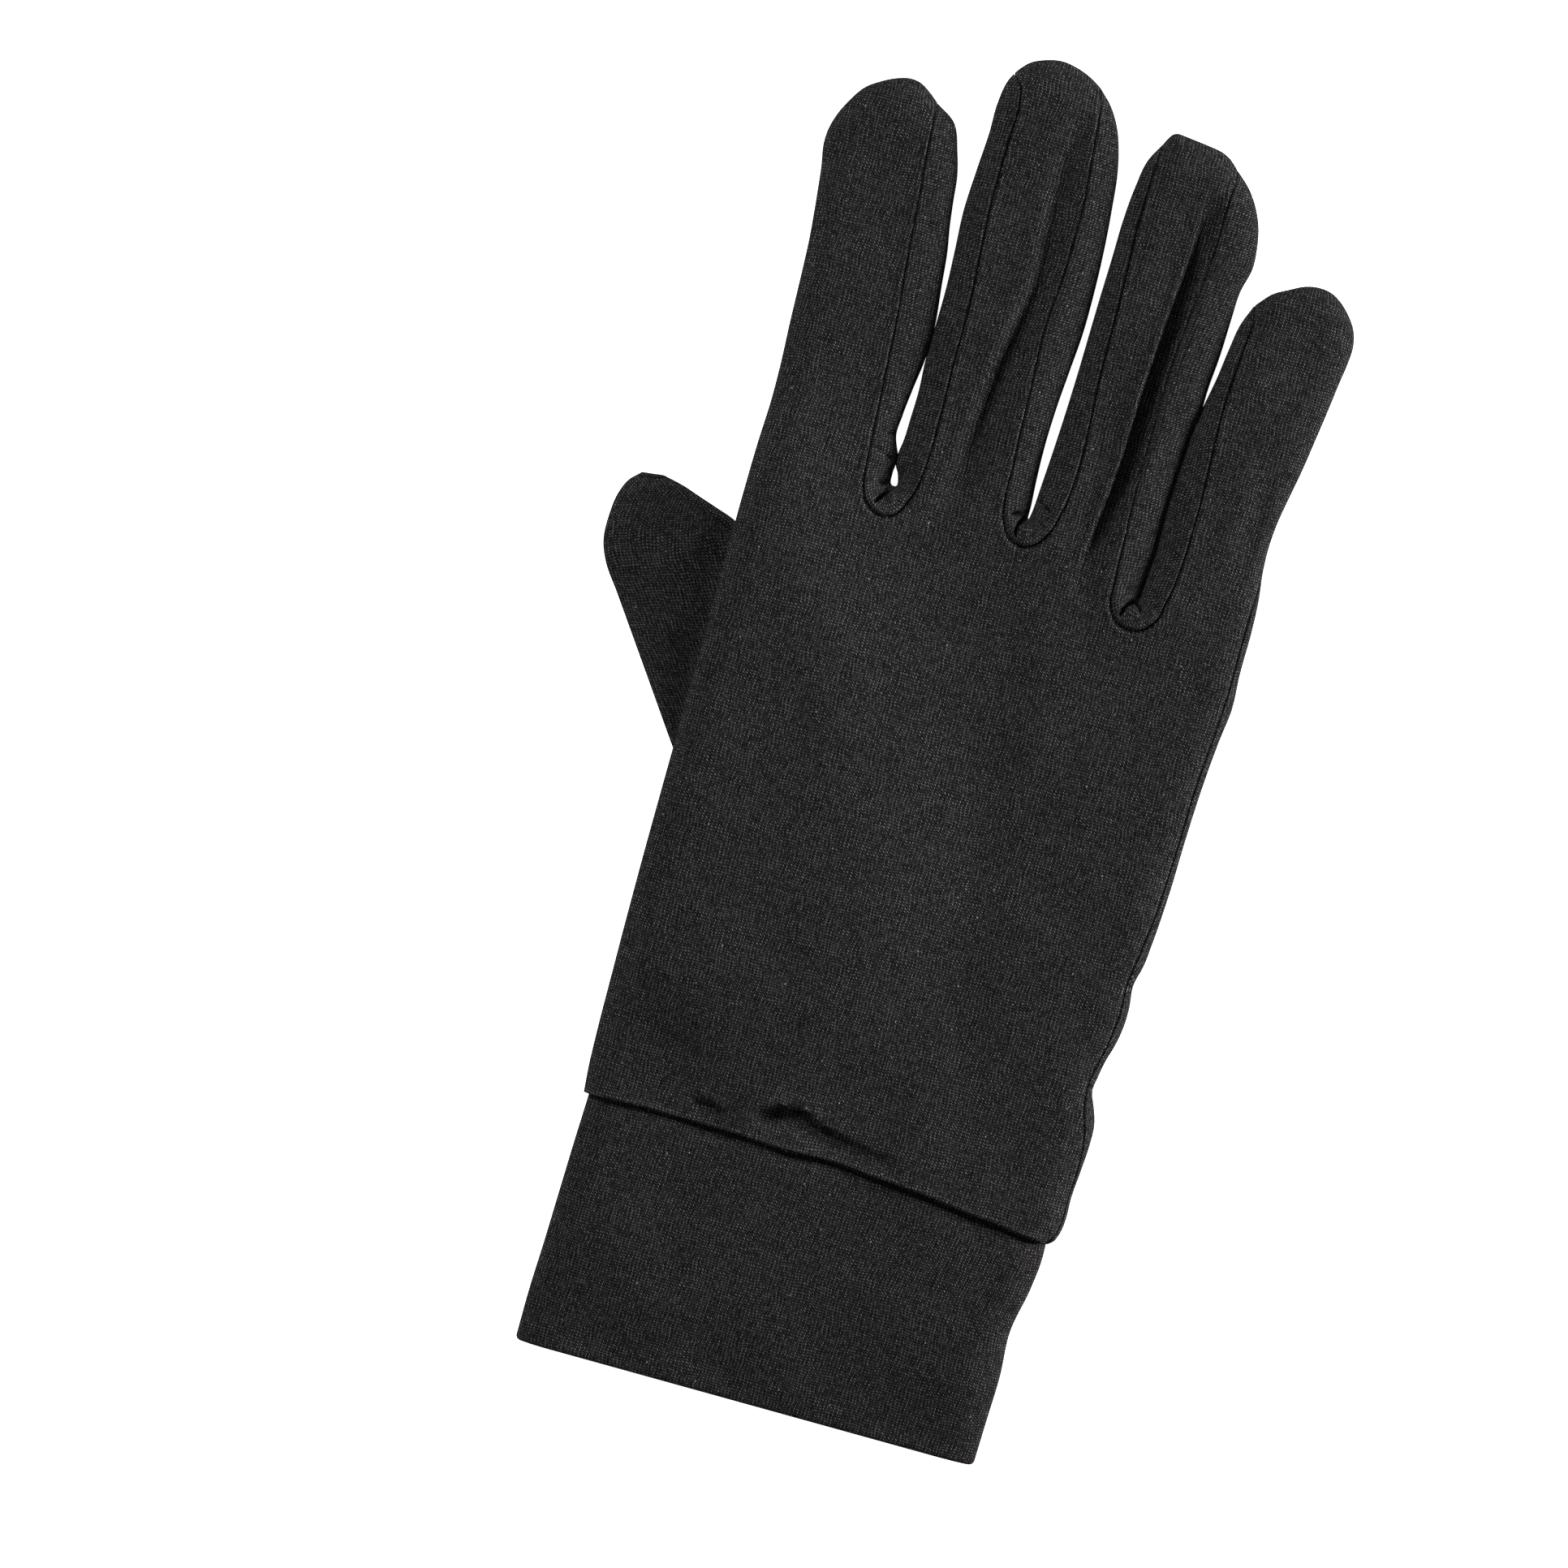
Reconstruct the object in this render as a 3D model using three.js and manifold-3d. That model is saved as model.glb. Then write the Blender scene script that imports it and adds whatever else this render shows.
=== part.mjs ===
// A fine-knit wool glove for the right hand, lying flat with the back of the hand up.
//
// The glove is cut from jersey and sewn: a back and a palm, three fourchettes that wrap
// the facing sides of the fingers and run round each crotch, a thumb pouch let into an
// oval hole in the palm and folded flat beneath it, and a doubled cuff band.
// Millimetres, +X to the little-finger side, +Y to the fingertips, +Z up.
//
// The shape is drafted in two plan measures: "across", from the glove's own axis towards
// the little finger, and "along", from the cuff's lower edge towards the fingertips.

import * as THREE from 'three';
import { mergeVertices } from 'three/addons/utils/BufferGeometryUtils.js';
import Module from 'manifold-3d';

const wasm = await Module();
wasm.setup();

// Driving dimensions, in millimetres.
const KNIT = 1.0;             // one layer of jersey
const CUFF_BAND = 1.8;        // the cuff's two layers
const SEAM_GAP = 0.3;         // space left between pieces that are sewn together
const EDGE_ROUND = 6.0;       // how far in from an edge the flattened tube rounds off
const EDGE_STEP = 1.2;        // first column in from an edge
const CREASE_HALF = 2.0;      // half the width of a crease in a finger
const THUMB_THICK = 3.4;      // the folded thumb, lying flat
const THUMB_WALL = 0.9;       // its jersey, pressed a little
const THUMB_ROUND = 5.0;      // how far in from its edges the thumb rounds off
const UNDER_PALM = THUMB_THICK + SEAM_GAP;
const POUCH_LAP = 0.6;        // how far the oval's cloth dips to meet the thumb's tube
const POUCH_RIM = 1.5;        // cloth left round the way from the hand into the thumb
const CUFF_THICK = 8.4;
const CUFF_ROUND = 6.0;       // how far in from its edges the cuff rounds off
const OVAL = { across: -24, along: 98, halfWidth: 15, halfLength: 37, sides: 24 };
const FLOOR = -5;             // below everything, for upright cuts
const CEILING = 40;           // above everything

const KNIT_LOOK = { color: 0x2b2b2e, roughness: 0.95, metalness: 0 };
const CUFF_LOOK = { color: 0x2d2a2a, roughness: 0.97, metalness: 0 };

// Turns a table into rows with named columns.
function table(names, rows) {
  const keys = names.split(' ');
  return rows.map((row) => Object.fromEntries(keys.map((key, i) => [key, row[i]])));
}

// Straight-line reading of one column of a table against another.
function read(rows, key, at, by = 'along') {
  if (at <= rows[0][by]) return rows[0][key];
  for (let i = 1; i < rows.length; i++) {
    const low = rows[i - 1];
    const high = rows[i];
    if (at <= high[by]) {
      const share = (at - low[by]) / (high[by] - low[by]);
      return low[key] + (high[key] - low[key]) * share;
    }
  }
  return rows[rows.length - 1][key];
}

// Sections of each finger, from the crotch to the tip. tilt is how much further along the
// right-hand end of the section lies; the seams are the fourchettes' seams on the back.
const SECTION = 'along tilt left right leftSeam rightSeam crease depth';
const FINGERS = {
  index: table(SECTION, [
    [166.5, 2.0, -44.3, -18.5, null, -24.3, -32.0, 0.0],
    [177.0, 0.0, -44.1, -20.4, null, -24.6, -32.2, 0.0],
    [192.0, 0.0, -44.6, -19.7, null, -25.5, -32.2, 0.0],
    [208.0, 0.0, -45.3, -19.9, null, -26.9, -32.6, 0.0],
    [218.0, 0.0, -46.3, -21.6, null, -27.7, -33.6, 0.0],
    [226.0, 0.0, -47.5, -22.3, null, -28.5, -34.6, 0.0],
    [232.5, 0.0, -45.7, -24.6, null, -28.9, -35.0, 0.0],
    [238.3, 0.0, -41.2, -30.0, null, -28.6, -35.4, 0.0],
    [240.6, 0.0, -37.0, -33.6, null, -28.6, -35.4, 0.0],
  ]),
  middle: table(SECTION, [
    [168.5, 0.5, -18.5, 6.9, -13.8, 1.7, -6.4, 0.0],
    [180.0, 0.0, -18.7, 6.3, -13.5, 1.5, -6.2, 0.2],
    [192.0, 0.0, -18.7, 6.5, -13.7, 0.9, -5.5, 0.5],
    [204.0, 0.0, -18.7, 7.5, -13.9, 0.6, -4.8, 0.7],
    [216.0, 0.0, -19.3, 7.4, -14.6, 1.4, -4.0, 0.7],
    [238.0, 0.0, -18.8, 4.9, -14.6, 0.2, -3.0, 0.5],
    [243.5, 0.0, -18.5, 2.7, -15.4, -0.4, -3.4, 0.2],
    [247.0, 0.0, -17.1, 0.4, -18.0, 0.8, -5.0, 0.0],
    [249.4, 0.0, -14.9, -3.2, -18.0, 0.8, -8.0, 0.0],
    [251.1, 0.0, -11.4, -7.6, -18.0, 0.8, -9.5, 0.0],
  ]),
  ring: table(SECTION, [
    [169.0, -8.5, 6.9, 30.2, 12.4, 24.8, 21.7, 1.5],
    [176.5, -3.5, 7.5, 30.0, 13.2, 24.4, 22.2, 1.8],
    [190.0, 0.0, 8.4, 30.8, 13.0, 24.4, 22.7, 1.9],
    [201.0, 0.0, 8.6, 31.9, 12.6, 24.7, 23.0, 1.8],
    [211.0, 0.0, 8.7, 32.9, 12.4, 25.2, 23.7, 1.5],
    [219.0, 0.0, 8.9, 33.1, 12.1, 26.1, 24.2, 0.8],
    [225.5, 0.0, 9.0, 34.4, 11.7, 26.6, 23.6, 0.1],
    [237.0, 0.0, 10.3, 30.6, 12.1, 26.7, 21.6, 0.0],
    [240.8, 0.0, 11.7, 26.6, 11.0, 27.0, 19.6, 0.0],
    [243.6, -0.3, 14.4, 21.0, 11.0, 27.0, 17.6, 0.0],
  ]),
  little: table(SECTION, [
    [160.5, -2.5, 30.2, 51.7, 35.8, null, 44.6, 0.0],
    [170.5, 0.0, 30.7, 50.7, 36.2, null, 46.0, 0.3],
    [180.0, 0.0, 31.4, 50.8, 36.3, null, 46.6, 0.6],
    [190.0, 0.0, 31.6, 52.6, 35.9, null, 46.8, 0.2],
    [199.0, 0.0, 32.8, 53.9, 35.8, null, 45.6, 0.0],
    [208.0, 0.0, 34.0, 55.0, 36.4, null, 45.6, 0.0],
    [215.0, 0.0, 35.2, 55.7, 36.8, null, 46.0, 0.0],
    [219.5, 0.0, 38.0, 53.7, 36.2, null, 46.2, 0.0],
    [222.0, 0.0, 41.8, 51.3, 36.2, null, 46.6, 0.0],
    [223.8, 0.0, 45.4, 48.6, 36.2, null, 47.0, 0.0],
  ]),
};
const FINGER_ORDER = ['index', 'middle', 'ring', 'little'];

// The hand's two edges, from the hem up to the crotches.
const HAND = table('leftAlong left rightAlong right', [
  [46.8, -43.3, 42.6, 45.6],
  [51.6, -43.7, 49.5, 47.6],
  [61.0, -44.0, 62.0, 48.2],
  [70.5, -44.2, 71.6, 46.0],
  [86.0, -44.3, 86.0, 48.5],
  [93.0, -44.3, 92.0, 48.0],
  [104.0, -44.3, 103.0, 49.6],
  [130.0, -44.3, 129.0, 50.6],
  [142.5, -44.3, 140.5, 51.6],
  [154.0, -44.3, 150.0, 51.9],
  [161.5, -44.3, 155.0, 51.8],
]);

// The hem's gentle droop, and how thick the empty glove lies at each distance along it.
const HEM = table('across along', [
  [-43.3, 46.8], [-29, 47.0], [-5, 46.5], [12.7, 45.9], [28, 44.4], [45.6, 42.6],
]);
const THICKNESS = table('along thick', [
  [42, 9.3], [60, 8.4], [100, 7.8], [165, 7.4], [252, 7.0],
]);

// Puckers above the hem: where the knit is gathered into the cuff seam.
const PUCKERS = table('across along reach depth', [
  [-20, 51, 5, 0.8],
  [-6, 52.5, 5, 0.7],
  [12, 51, 4, 0.4],
  [46, 71.6, 7, 0.8],
  [47, 92, 6, 0.4],
]);

// Where each crotch seam bottoms out below its crotch.
const CROTCHES = table('name left right bottom', [
  ['fourchette_index_middle', 'index', 'middle', 162.0],
  ['fourchette_middle_ring', 'middle', 'ring', 163.4],
  ['fourchette_ring_little', 'ring', 'little', 154.0],
]);

// The thumb's two edges from the point of its base to its tip, in plan, how much of its
// full thickness each section has, and how high the section's middle lies.
const THUMB = table('left leftAlong right rightAlong fill middle', [
  [-22.6, 68.5, -20.4, 68.5, 0.0, 1.1],
  [-25.2, 74.0, -18.2, 74.5, 0.6, 1.1],
  [-29.5, 84.5, -15.0, 86.0, 0.85, 1.5],
  [-34.6, 96.5, -13.2, 99.5, 1.0, 1.7],
  [-39.6, 104.6, -13.4, 110.5, 1.0, 1.7],
  [-46.0, 113.6, -16.4, 119.5, 1.0, 1.7],
  [-52.0, 122.1, -21.4, 128.7, 1.0, 1.7],
  [-57.6, 130.0, -27.0, 137.0, 1.0, 1.7],
  [-62.0, 136.2, -33.0, 144.6, 1.0, 1.7],
  [-65.4, 141.0, -38.6, 150.4, 1.0, 1.7],
  [-67.0, 145.4, -44.5, 154.5, 1.0, 1.7],
  [-67.1, 149.6, -49.0, 156.1, 1.0, 1.7],
  [-66.7, 153.2, -52.4, 157.2, 1.0, 1.7],
  [-65.6, 156.2, -55.4, 158.2, 0.9, 1.6],
  [-63.4, 158.6, -59.4, 159.1, 0.0, 1.1],
]);

// The cuff's edges from its folded lower edge up to the hem.
const CUFF = table('along left right tuck', [
  [0.0, -42.9, 42.9, 0.7],
  [0.7, -43.3, 43.4, 0.0],
  [9.0, -43.3, 43.5, 0.0],
  [18.0, -43.0, 43.7, 0.0],
  [27.0, -42.8, 43.3, 0.1],
  [36.0, -42.6, 44.8, 0.0],
  [46.0, -42.3, 45.1, 0.0],
]);

// How far the palm is raised where the folded thumb lies beneath it.
const THUMB_AXIS = { from: [-24, 92], to: [-51, 147], reach: 17.5, fall: 15 };
function lift(across, along) {
  const [x0, y0] = THUMB_AXIS.from;
  const [x1, y1] = THUMB_AXIS.to;
  const length2 = (x1 - x0) ** 2 + (y1 - y0) ** 2;
  const at = ((across - x0) * (x1 - x0) + (along - y0) * (y1 - y0)) / length2;
  const share = THREE.MathUtils.clamp(at, 0, 1);
  const away = Math.hypot(across - x0 - share * (x1 - x0), along - y0 - share * (y1 - y0));
  const down = THREE.MathUtils.smoothstep(away - THUMB_AXIS.reach, 0, THUMB_AXIS.fall);
  return UNDER_PALM * (1 - down);
}

// A quarter-ellipse: nought at an edge, one from a rounding's width inwards.
function dome(distance, reach) {
  const left = 1 - THREE.MathUtils.clamp(distance / reach, 0, 1);
  return Math.sqrt(1 - left * left);
}

// Distance from a plan point to the nearest stretch of an outline.
const ON_OUTLINE = 1e-3;
function toOutline(point, outline) {
  let best = Infinity;
  for (let i = 1; i < outline.length; i++) {
    const [ax, ay] = outline[i - 1];
    const [bx, by] = outline[i];
    const length2 = Math.max((bx - ax) ** 2 + (by - ay) ** 2, 1e-9);
    const at = ((point[0] - ax) * (bx - ax) + (point[1] - ay) * (by - ay)) / length2;
    const share = THREE.MathUtils.clamp(at, 0, 1);
    const away = Math.hypot(point[0] - ax - share * (bx - ax), point[1] - ay - share * (by - ay));
    best = Math.min(best, away);
  }
  return best < ON_OUTLINE ? 0 : best;
}

// The outline moved inwards: each corner goes along the mean of its two sides' normals.
function moveInwards(outline, amount) {
  const normals = outline.slice(1).map(([bx, by], i) => {
    const [ax, ay] = outline[i];
    const length = Math.hypot(bx - ax, by - ay);
    return [(by - ay) / length, (ax - bx) / length];
  });
  return outline.map(([x, y], i) => {
    const before = normals[Math.max(i - 1, 0)];
    const after = normals[Math.min(i, normals.length - 1)];
    const sum = [before[0] + after[0], before[1] + after[1]];
    const length = Math.hypot(...sum);
    return [x + (amount * sum[0]) / length, y + (amount * sum[1]) / length];
  });
}

// The same for an outline that closes on itself.
function shrinkLoop(loop, amount) {
  return moveInwards([loop[loop.length - 1], ...loop, loop[0]], amount).slice(1, -1);
}

// A pillow over plan patches: an upper and a lower sheet that meet along the outline.
// Each patch is rows of { across, along, top, bottom }; caps are rows closed by a strip.
function pillow(patches, caps = []) {
  const corners = [];
  const lower = (p) => [p.across, p.along, p.bottom];
  const upper = (p) => [p.across, p.along, p.top];
  const triangle = (a, b, c) => corners.push(...a, ...b, ...c);
  for (const rows of patches) {
    for (let i = 1; i < rows.length; i++) {
      for (let j = 1; j < rows[i].length; j++) {
        const a = rows[i - 1][j - 1];
        const b = rows[i - 1][j];
        const c = rows[i][j];
        const d = rows[i][j - 1];
        const puff = (p, q) => p.top - p.bottom + q.top - q.bottom;
        const cells = puff(a, c) > puff(b, d) ? [[a, b, c], [a, c, d]] : [[a, b, d], [b, c, d]];
        for (const [p, q, r] of cells) {
          triangle(upper(p), upper(q), upper(r));
          triangle(lower(r), lower(q), lower(p));
        }
      }
    }
  }
  for (const { row, facing } of caps) {
    for (let j = 1; j < row.length; j++) {
      const [p, q] = facing < 0 ? [row[j - 1], row[j]] : [row[j], row[j - 1]];
      triangle(lower(p), lower(q), upper(q));
      triangle(lower(p), upper(q), upper(p));
    }
  }
  return solidFrom(corners);
}

// An upright prism on a plan outline given anticlockwise.
function prism(outline, low, high) {
  const shape = new THREE.Shape(outline.map(([x, y]) => new THREE.Vector2(x, y)));
  const geometry = new THREE.ExtrudeGeometry(shape, { depth: high - low, bevelEnabled: false });
  geometry.translate(0, 0, low);
  return solidFrom(Array.from(geometry.attributes.position.array));
}

// Merges equal corners, drops flat triangles and hands the shell to the solid kernel.
function solidFrom(corners) {
  const loose = new THREE.BufferGeometry();
  loose.setAttribute('position', new THREE.Float32BufferAttribute(corners, 3));
  const merged = mergeVertices(loose, 1e-4);
  const kept = [];
  const index = merged.index.array;
  for (let i = 0; i < index.length; i += 3) {
    const [a, b, c] = [index[i], index[i + 1], index[i + 2]];
    if (a !== b && b !== c && c !== a) kept.push(a, b, c);
  }
  return new wasm.Manifold(new wasm.Mesh({
    numProp: 3,
    vertProperties: new Float32Array(merged.attributes.position.array),
    triVerts: new Uint32Array(kept),
  }));
}

// Places the columns of one section between its two ends, close together at both edges
// and on both sides of the crease.
function columns(left, right, crease) {
  const width = right - left;
  const step = Math.min(EDGE_STEP, width * 0.12);
  const half = Math.min(CREASE_HALF, width * 0.12);
  const fold = THREE.MathUtils.clamp(crease, left + width * 0.3, right - width * 0.3);
  const halfway = (a, b) => (a + b) / 2;
  return [
    left, left + step, halfway(left + step, fold - half), fold - half, fold,
    fold + half, halfway(fold + half, right - step), right - step, right,
  ];
}
const CREASE_COLUMN = 4;

// The silhouette, from the hem's left corner round the fingertips to its right corner,
// with the place of each section's two ends in it.
function silhouette() {
  const outline = HAND.map((row) => [row.left, row.leftAlong]);
  const ends = {};
  for (const name of FINGER_ORDER) {
    const rows = FINGERS[name];
    const first = name === 'index' ? outline.length : outline.length - 1;
    const climb = rows.map((row) => [row.left, row.along]);
    outline.push(...(name === 'index' ? climb : climb.slice(1)));
    outline.push(...rows.map((row) => [row.right, row.along + row.tilt]).reverse());
    ends[name] = rows.map((row, i) => [first + i, first + 2 * rows.length - 1 - i]);
  }
  outline.push(...HAND.map((row) => [row.right, row.rightAlong]).reverse());
  return { outline, ends };
}

// Plan grid of the hand and fingers for an outline moved inwards by the given amount.
function planGrid(inset) {
  const { outline: outside, ends } = silhouette();
  const outline = moveInwards(outside, inset);
  const fingers = FINGER_ORDER.map((name) => FINGERS[name].map((row, i) => {
    const [left, right] = ends[name][i].map((at) => outline[at]);
    const places = columns(left[0], right[0], row.crease);
    return places.map((across, j) => ({
      across,
      along: left[1] + ((right[1] - left[1]) * (across - left[0])) / (right[0] - left[0]),
      dent: j === CREASE_COLUMN ? row.depth : 0,
    }));
  }));
  // The hand's columns run down from the fingers' first sections at constant shares.
  const knuckles = fingers.flatMap((rows, i) => (i === 0 ? rows[0] : rows[0].slice(1)));
  const [start, end] = [knuckles[0].across, knuckles[knuckles.length - 1].across];
  const steps = HAND.length;
  const hand = HAND.map((row, i) => {
    const left = outline[i];
    const right = outline[outline.length - 1 - i];
    const rise = i / steps;
    return knuckles.map((knuckle) => {
      const share = (knuckle.across - start) / (end - start);
      const straight = left[1] + (right[1] - left[1]) * share;
      const hemAcross = HEM[0].across + (HEM[HEM.length - 1].across - HEM[0].across) * share;
      const hemLine = read(HEM, 'along', hemAcross, 'across');
      const hemChord = HEM[0].along + (HEM[HEM.length - 1].along - HEM[0].along) * share;
      const topChord = knuckles[0].along
        + (knuckles[knuckles.length - 1].along - knuckles[0].along) * share;
      return {
        across: left[0] + (right[0] - left[0]) * share,
        along: straight + (hemLine - hemChord) * (1 - rise) ** 2
          + (knuckle.along - topChord) * rise ** 3,
        dent: knuckle.dent * Math.max(0, 3 * rise - 2) ** 2,
      };
    });
  });
  hand.push(knuckles);
  return { patches: [hand, ...fingers], outline };
}

// Gives a plan grid its heights: a flattened tube that rounds off towards the outline.
// wall takes one layer off inside; reach carries the grid on past the hem.
function raise({ patches, outline }, wall, reach) {
  for (const rows of patches) {
    for (const row of rows) {
      for (const p of row) {
        const full = read(THICKNESS, 'thick', p.along);
        const away = toOutline([p.across, p.along], outline);
        const half = (full / 2 - wall) * dome(away, EDGE_ROUND - wall);
        const middle = lift(p.across, p.along) + full / 2;
        let pucker = 0;
        for (const dip of PUCKERS) {
          const near = Math.hypot(p.across - dip.across, p.along - dip.along) / dip.reach;
          pucker += dip.depth * Math.exp(-near * near) * Math.min(1, away / dip.reach);
        }
        p.top = middle + half - (half > 0 ? p.dent + pucker : 0);
        p.bottom = middle - half;
      }
    }
  }
  const hand = patches[0];
  if (reach > 0) hand.unshift(hand[0].map((p) => ({ ...p, along: p.along - reach })));
  return pillow(patches, [{ row: hand[0], facing: -1 }]);
}

// The whole hand as one hollow shell, before it is cut into its panels. The hollow runs
// on past the hem, so the hem is open.
function handShell() {
  const pastHem = 4;
  return raise(planGrid(0), 0, 0).subtract(raise(planGrid(KNIT), KNIT, pastHem));
}

// Plan outline of a fourchette: up one finger's seam, over the gap, down the next finger's
// seam and round the crotch in a half-ellipse. grow widens it on every side.
function fourchetteOutline(crotch, grow) {
  const left = FINGERS[crotch.left];
  const right = FINGERS[crotch.right];
  const up = left.slice(1).map((row) => [row.rightSeam - grow, row.along]);
  const down = right.slice(1).map((row) => [row.leftSeam + grow, row.along]).reverse();
  const beyondTips = Math.max(up[up.length - 1][1], down[0][1]) + 2;
  const over = [[up[up.length - 1][0], beyondTips], [down[0][0], beyondTips]];
  const [from, to] = [down[down.length - 1], up[0]];
  const centre = [(from[0] + to[0]) / 2, (from[1] + to[1]) / 2];
  const bend = [];
  const turns = 10;
  for (let i = 1; i < turns; i++) {
    const angle = (Math.PI * i) / turns;
    const [x, y] = [Math.cos(angle), Math.sin(angle)];
    const deep = centre[1] - crotch.bottom + grow;
    bend.push([
      centre[0] + ((from[0] - to[0]) / 2) * x,
      centre[1] + ((from[1] - to[1]) / 2) * x - deep * y,
    ]);
  }
  return [...up, ...over, ...down, ...bend].reverse();
}

// The back's share of the shell: what lies above mid-thickness and inside the side seam,
// which shows on the back just in from the little-finger edge.
const SIDE_SEAM = table('along across', [
  [34, 52], [57, 48.2], [64, 46.6], [71.6, 44.8], [79, 46.1], [92, 46.7], [104, 48.2],
  [130, 49.2], [142, 50.2], [160, 50.2], [170, 51.4], [184, 60], [262, 70],
]);
const INDEX_SIDE = -80;
const LANES = 7;
function backSide(clear) {
  return block(SIDE_SEAM.map((seam) => {
    const row = [];
    for (let lane = 0; lane <= LANES; lane++) {
      const across = INDEX_SIDE + ((seam.across + clear - INDEX_SIDE) * lane) / LANES;
      const middle = lift(across, seam.along) + read(THICKNESS, 'thick', seam.along) / 2;
      row.push({ across, along: seam.along, bottom: middle + SEAM_GAP / 2 - clear });
    }
    return row;
  }));
}

// A block with an uneven floor, upright sides and a flat top.
function block(rows) {
  const corners = [];
  const triangle = (a, b, c) => corners.push(...a, ...b, ...c);
  const lower = (p) => [p.across, p.along, p.bottom];
  const upper = (p) => [p.across, p.along, CEILING];
  const wall = (p, q) => {
    triangle(lower(p), lower(q), upper(q));
    triangle(lower(p), upper(q), upper(p));
  };
  const [n, m] = [rows.length - 1, rows[0].length - 1];
  for (let i = 0; i < n; i++) {
    for (let j = 0; j < m; j++) {
      const [a, b, c, d] = [rows[i][j], rows[i][j + 1], rows[i + 1][j + 1], rows[i + 1][j]];
      triangle(upper(a), upper(b), upper(c));
      triangle(upper(a), upper(c), upper(d));
      triangle(lower(c), lower(b), lower(a));
      triangle(lower(d), lower(c), lower(a));
    }
    wall(rows[i + 1][0], rows[i][0]);
    wall(rows[i][m], rows[i + 1][m]);
  }
  for (let j = 0; j < m; j++) {
    wall(rows[0][j], rows[0][j + 1]);
    wall(rows[n][j + 1], rows[n][j]);
  }
  return solidFrom(corners);
}

function ovalOutline(shrink) {
  const points = [];
  for (let i = 0; i < OVAL.sides; i++) {
    const angle = (2 * Math.PI * i) / OVAL.sides;
    points.push([
      OVAL.across + (OVAL.halfWidth - shrink) * Math.cos(angle),
      OVAL.along + (OVAL.halfLength - shrink) * Math.sin(angle),
    ]);
  }
  return points;
}

// The thumb's flattened tube, moved inwards by the given amount.
function thumbTube(inset) {
  const climb = THUMB.map((row) => [row.left, row.leftAlong]);
  const descend = THUMB.map((row) => [row.right, row.rightAlong]).reverse();
  const loop = [...climb, ...descend];
  const outline = shrinkLoop(loop, inset);
  const closed = [...outline, outline[0]];
  const shares = [0, 0.05, 0.2, 0.5, 0.8, 0.95, 1];
  const rows = THUMB.map((row, i) => {
    const left = outline[i];
    const right = outline[outline.length - 1 - i];
    return shares.map((share) => {
      const across = left[0] + (right[0] - left[0]) * share;
      const along = left[1] + (right[1] - left[1]) * share;
      const away = toOutline([across, along], closed);
      const half = Math.max(0, (THUMB_THICK * row.fill) / 2 - inset);
      const puff = half * dome(away, THUMB_ROUND - inset);
      return { across, along, top: row.middle + puff, bottom: row.middle - puff };
    });
  });
  return { solid: pillow([rows]), outline };
}

// The thumb: its tube, the oval of pouch that fills the palm's hole, and the way between.
function thumb() {
  const outside = thumbTube(0);
  const inside = thumbTube(THUMB_WALL);
  const rings = [0, 0.5, 1];
  const rim = ovalOutline(SEAM_GAP);
  const rows = rings.map((ring) => [...rim, rim[0]].map(([x, y]) => {
    const across = OVAL.across + (x - OVAL.across) * ring;
    const along = OVAL.along + (y - OVAL.along) * ring;
    const floor = lift(across, along);
    return { across, along, top: floor + KNIT, bottom: Math.max(floor - POUCH_LAP, 0) };
  }));
  const clockwise = rows.map((row) => row.slice().reverse());
  const plate = pillow([clockwise], [{ row: rows[rings.length - 1], facing: -1 }]);
  const level = THUMB_THICK / 2;
  const way = prism(ovalOutline(POUCH_RIM), level, CEILING)
    .intersect(prism(shrinkLoop(outside.outline, POUCH_RIM).reverse(), level, CEILING));
  return outside.solid.add(plate).subtract(inside.solid).subtract(way);
}

// The cuff's flattened tube, moved inwards by the given amount and carried on past its
// two ends by reach. tuck rounds the fold at its lower edge.
const CUFF_COLUMNS = [0, 0.013, 0.05, 0.16, 0.33, 0.5, 0.67, 0.84, 0.95, 0.987, 1];
function cuffTube(inset, reach) {
  const last = CUFF.length - 1;
  const rows = CUFF.map((row, i) => {
    const left = row.left + inset;
    const right = row.right - inset;
    return CUFF_COLUMNS.map((share) => {
      const across = left + (right - left) * share;
      const hem = read(HEM, 'along', across, 'across') - SEAM_GAP;
      let along = row.along * (hem / CUFF[last].along);
      if (i === 0) along -= reach;
      if (i === last) along += reach;
      const away = Math.min(across - left, right - across);
      const half = CUFF_THICK / 2 - Math.max(inset, row.tuck);
      const puff = half * dome(away, CUFF_ROUND - inset);
      return { across, along, top: CUFF_THICK / 2 + puff, bottom: CUFF_THICK / 2 - puff };
    });
  });
  return pillow([rows], [{ row: rows[0], facing: -1 }, { row: rows[last], facing: 1 }]);
}

// The cuff: a doubled band, open at both ends.
function cuff() {
  const pastEnds = 3;
  return cuffTube(0, 0).subtract(cuffTube(CUFF_BAND, pastEnds));
}

function meshOf(name, solid, look) {
  const { vertProperties, triVerts } = solid.getMesh();
  const geometry = new THREE.BufferGeometry();
  geometry.setAttribute('position', new THREE.BufferAttribute(vertProperties, 3));
  geometry.setIndex(new THREE.BufferAttribute(triVerts, 1));
  geometry.computeVertexNormals();
  const mesh = new THREE.Mesh(geometry, new THREE.MeshStandardMaterial(look));
  mesh.name = name;
  return mesh;
}

const shell = handShell();
const upperHalf = backSide(0);
const upperHalfAndSeam = backSide(SEAM_GAP);
const slots = CROTCHES
  .map((crotch) => prism(fourchetteOutline(crotch, SEAM_GAP), FLOOR, CEILING))
  .reduce((all, slot) => all.add(slot));
const insideHollow = UNDER_PALM + KNIT + 1.5;
const palmHole = prism(ovalOutline(0), FLOOR, insideHollow);
const back = shell.intersect(upperHalf).subtract(slots);
const palm = shell.subtract(upperHalfAndSeam).subtract(slots).subtract(palmHole);

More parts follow.
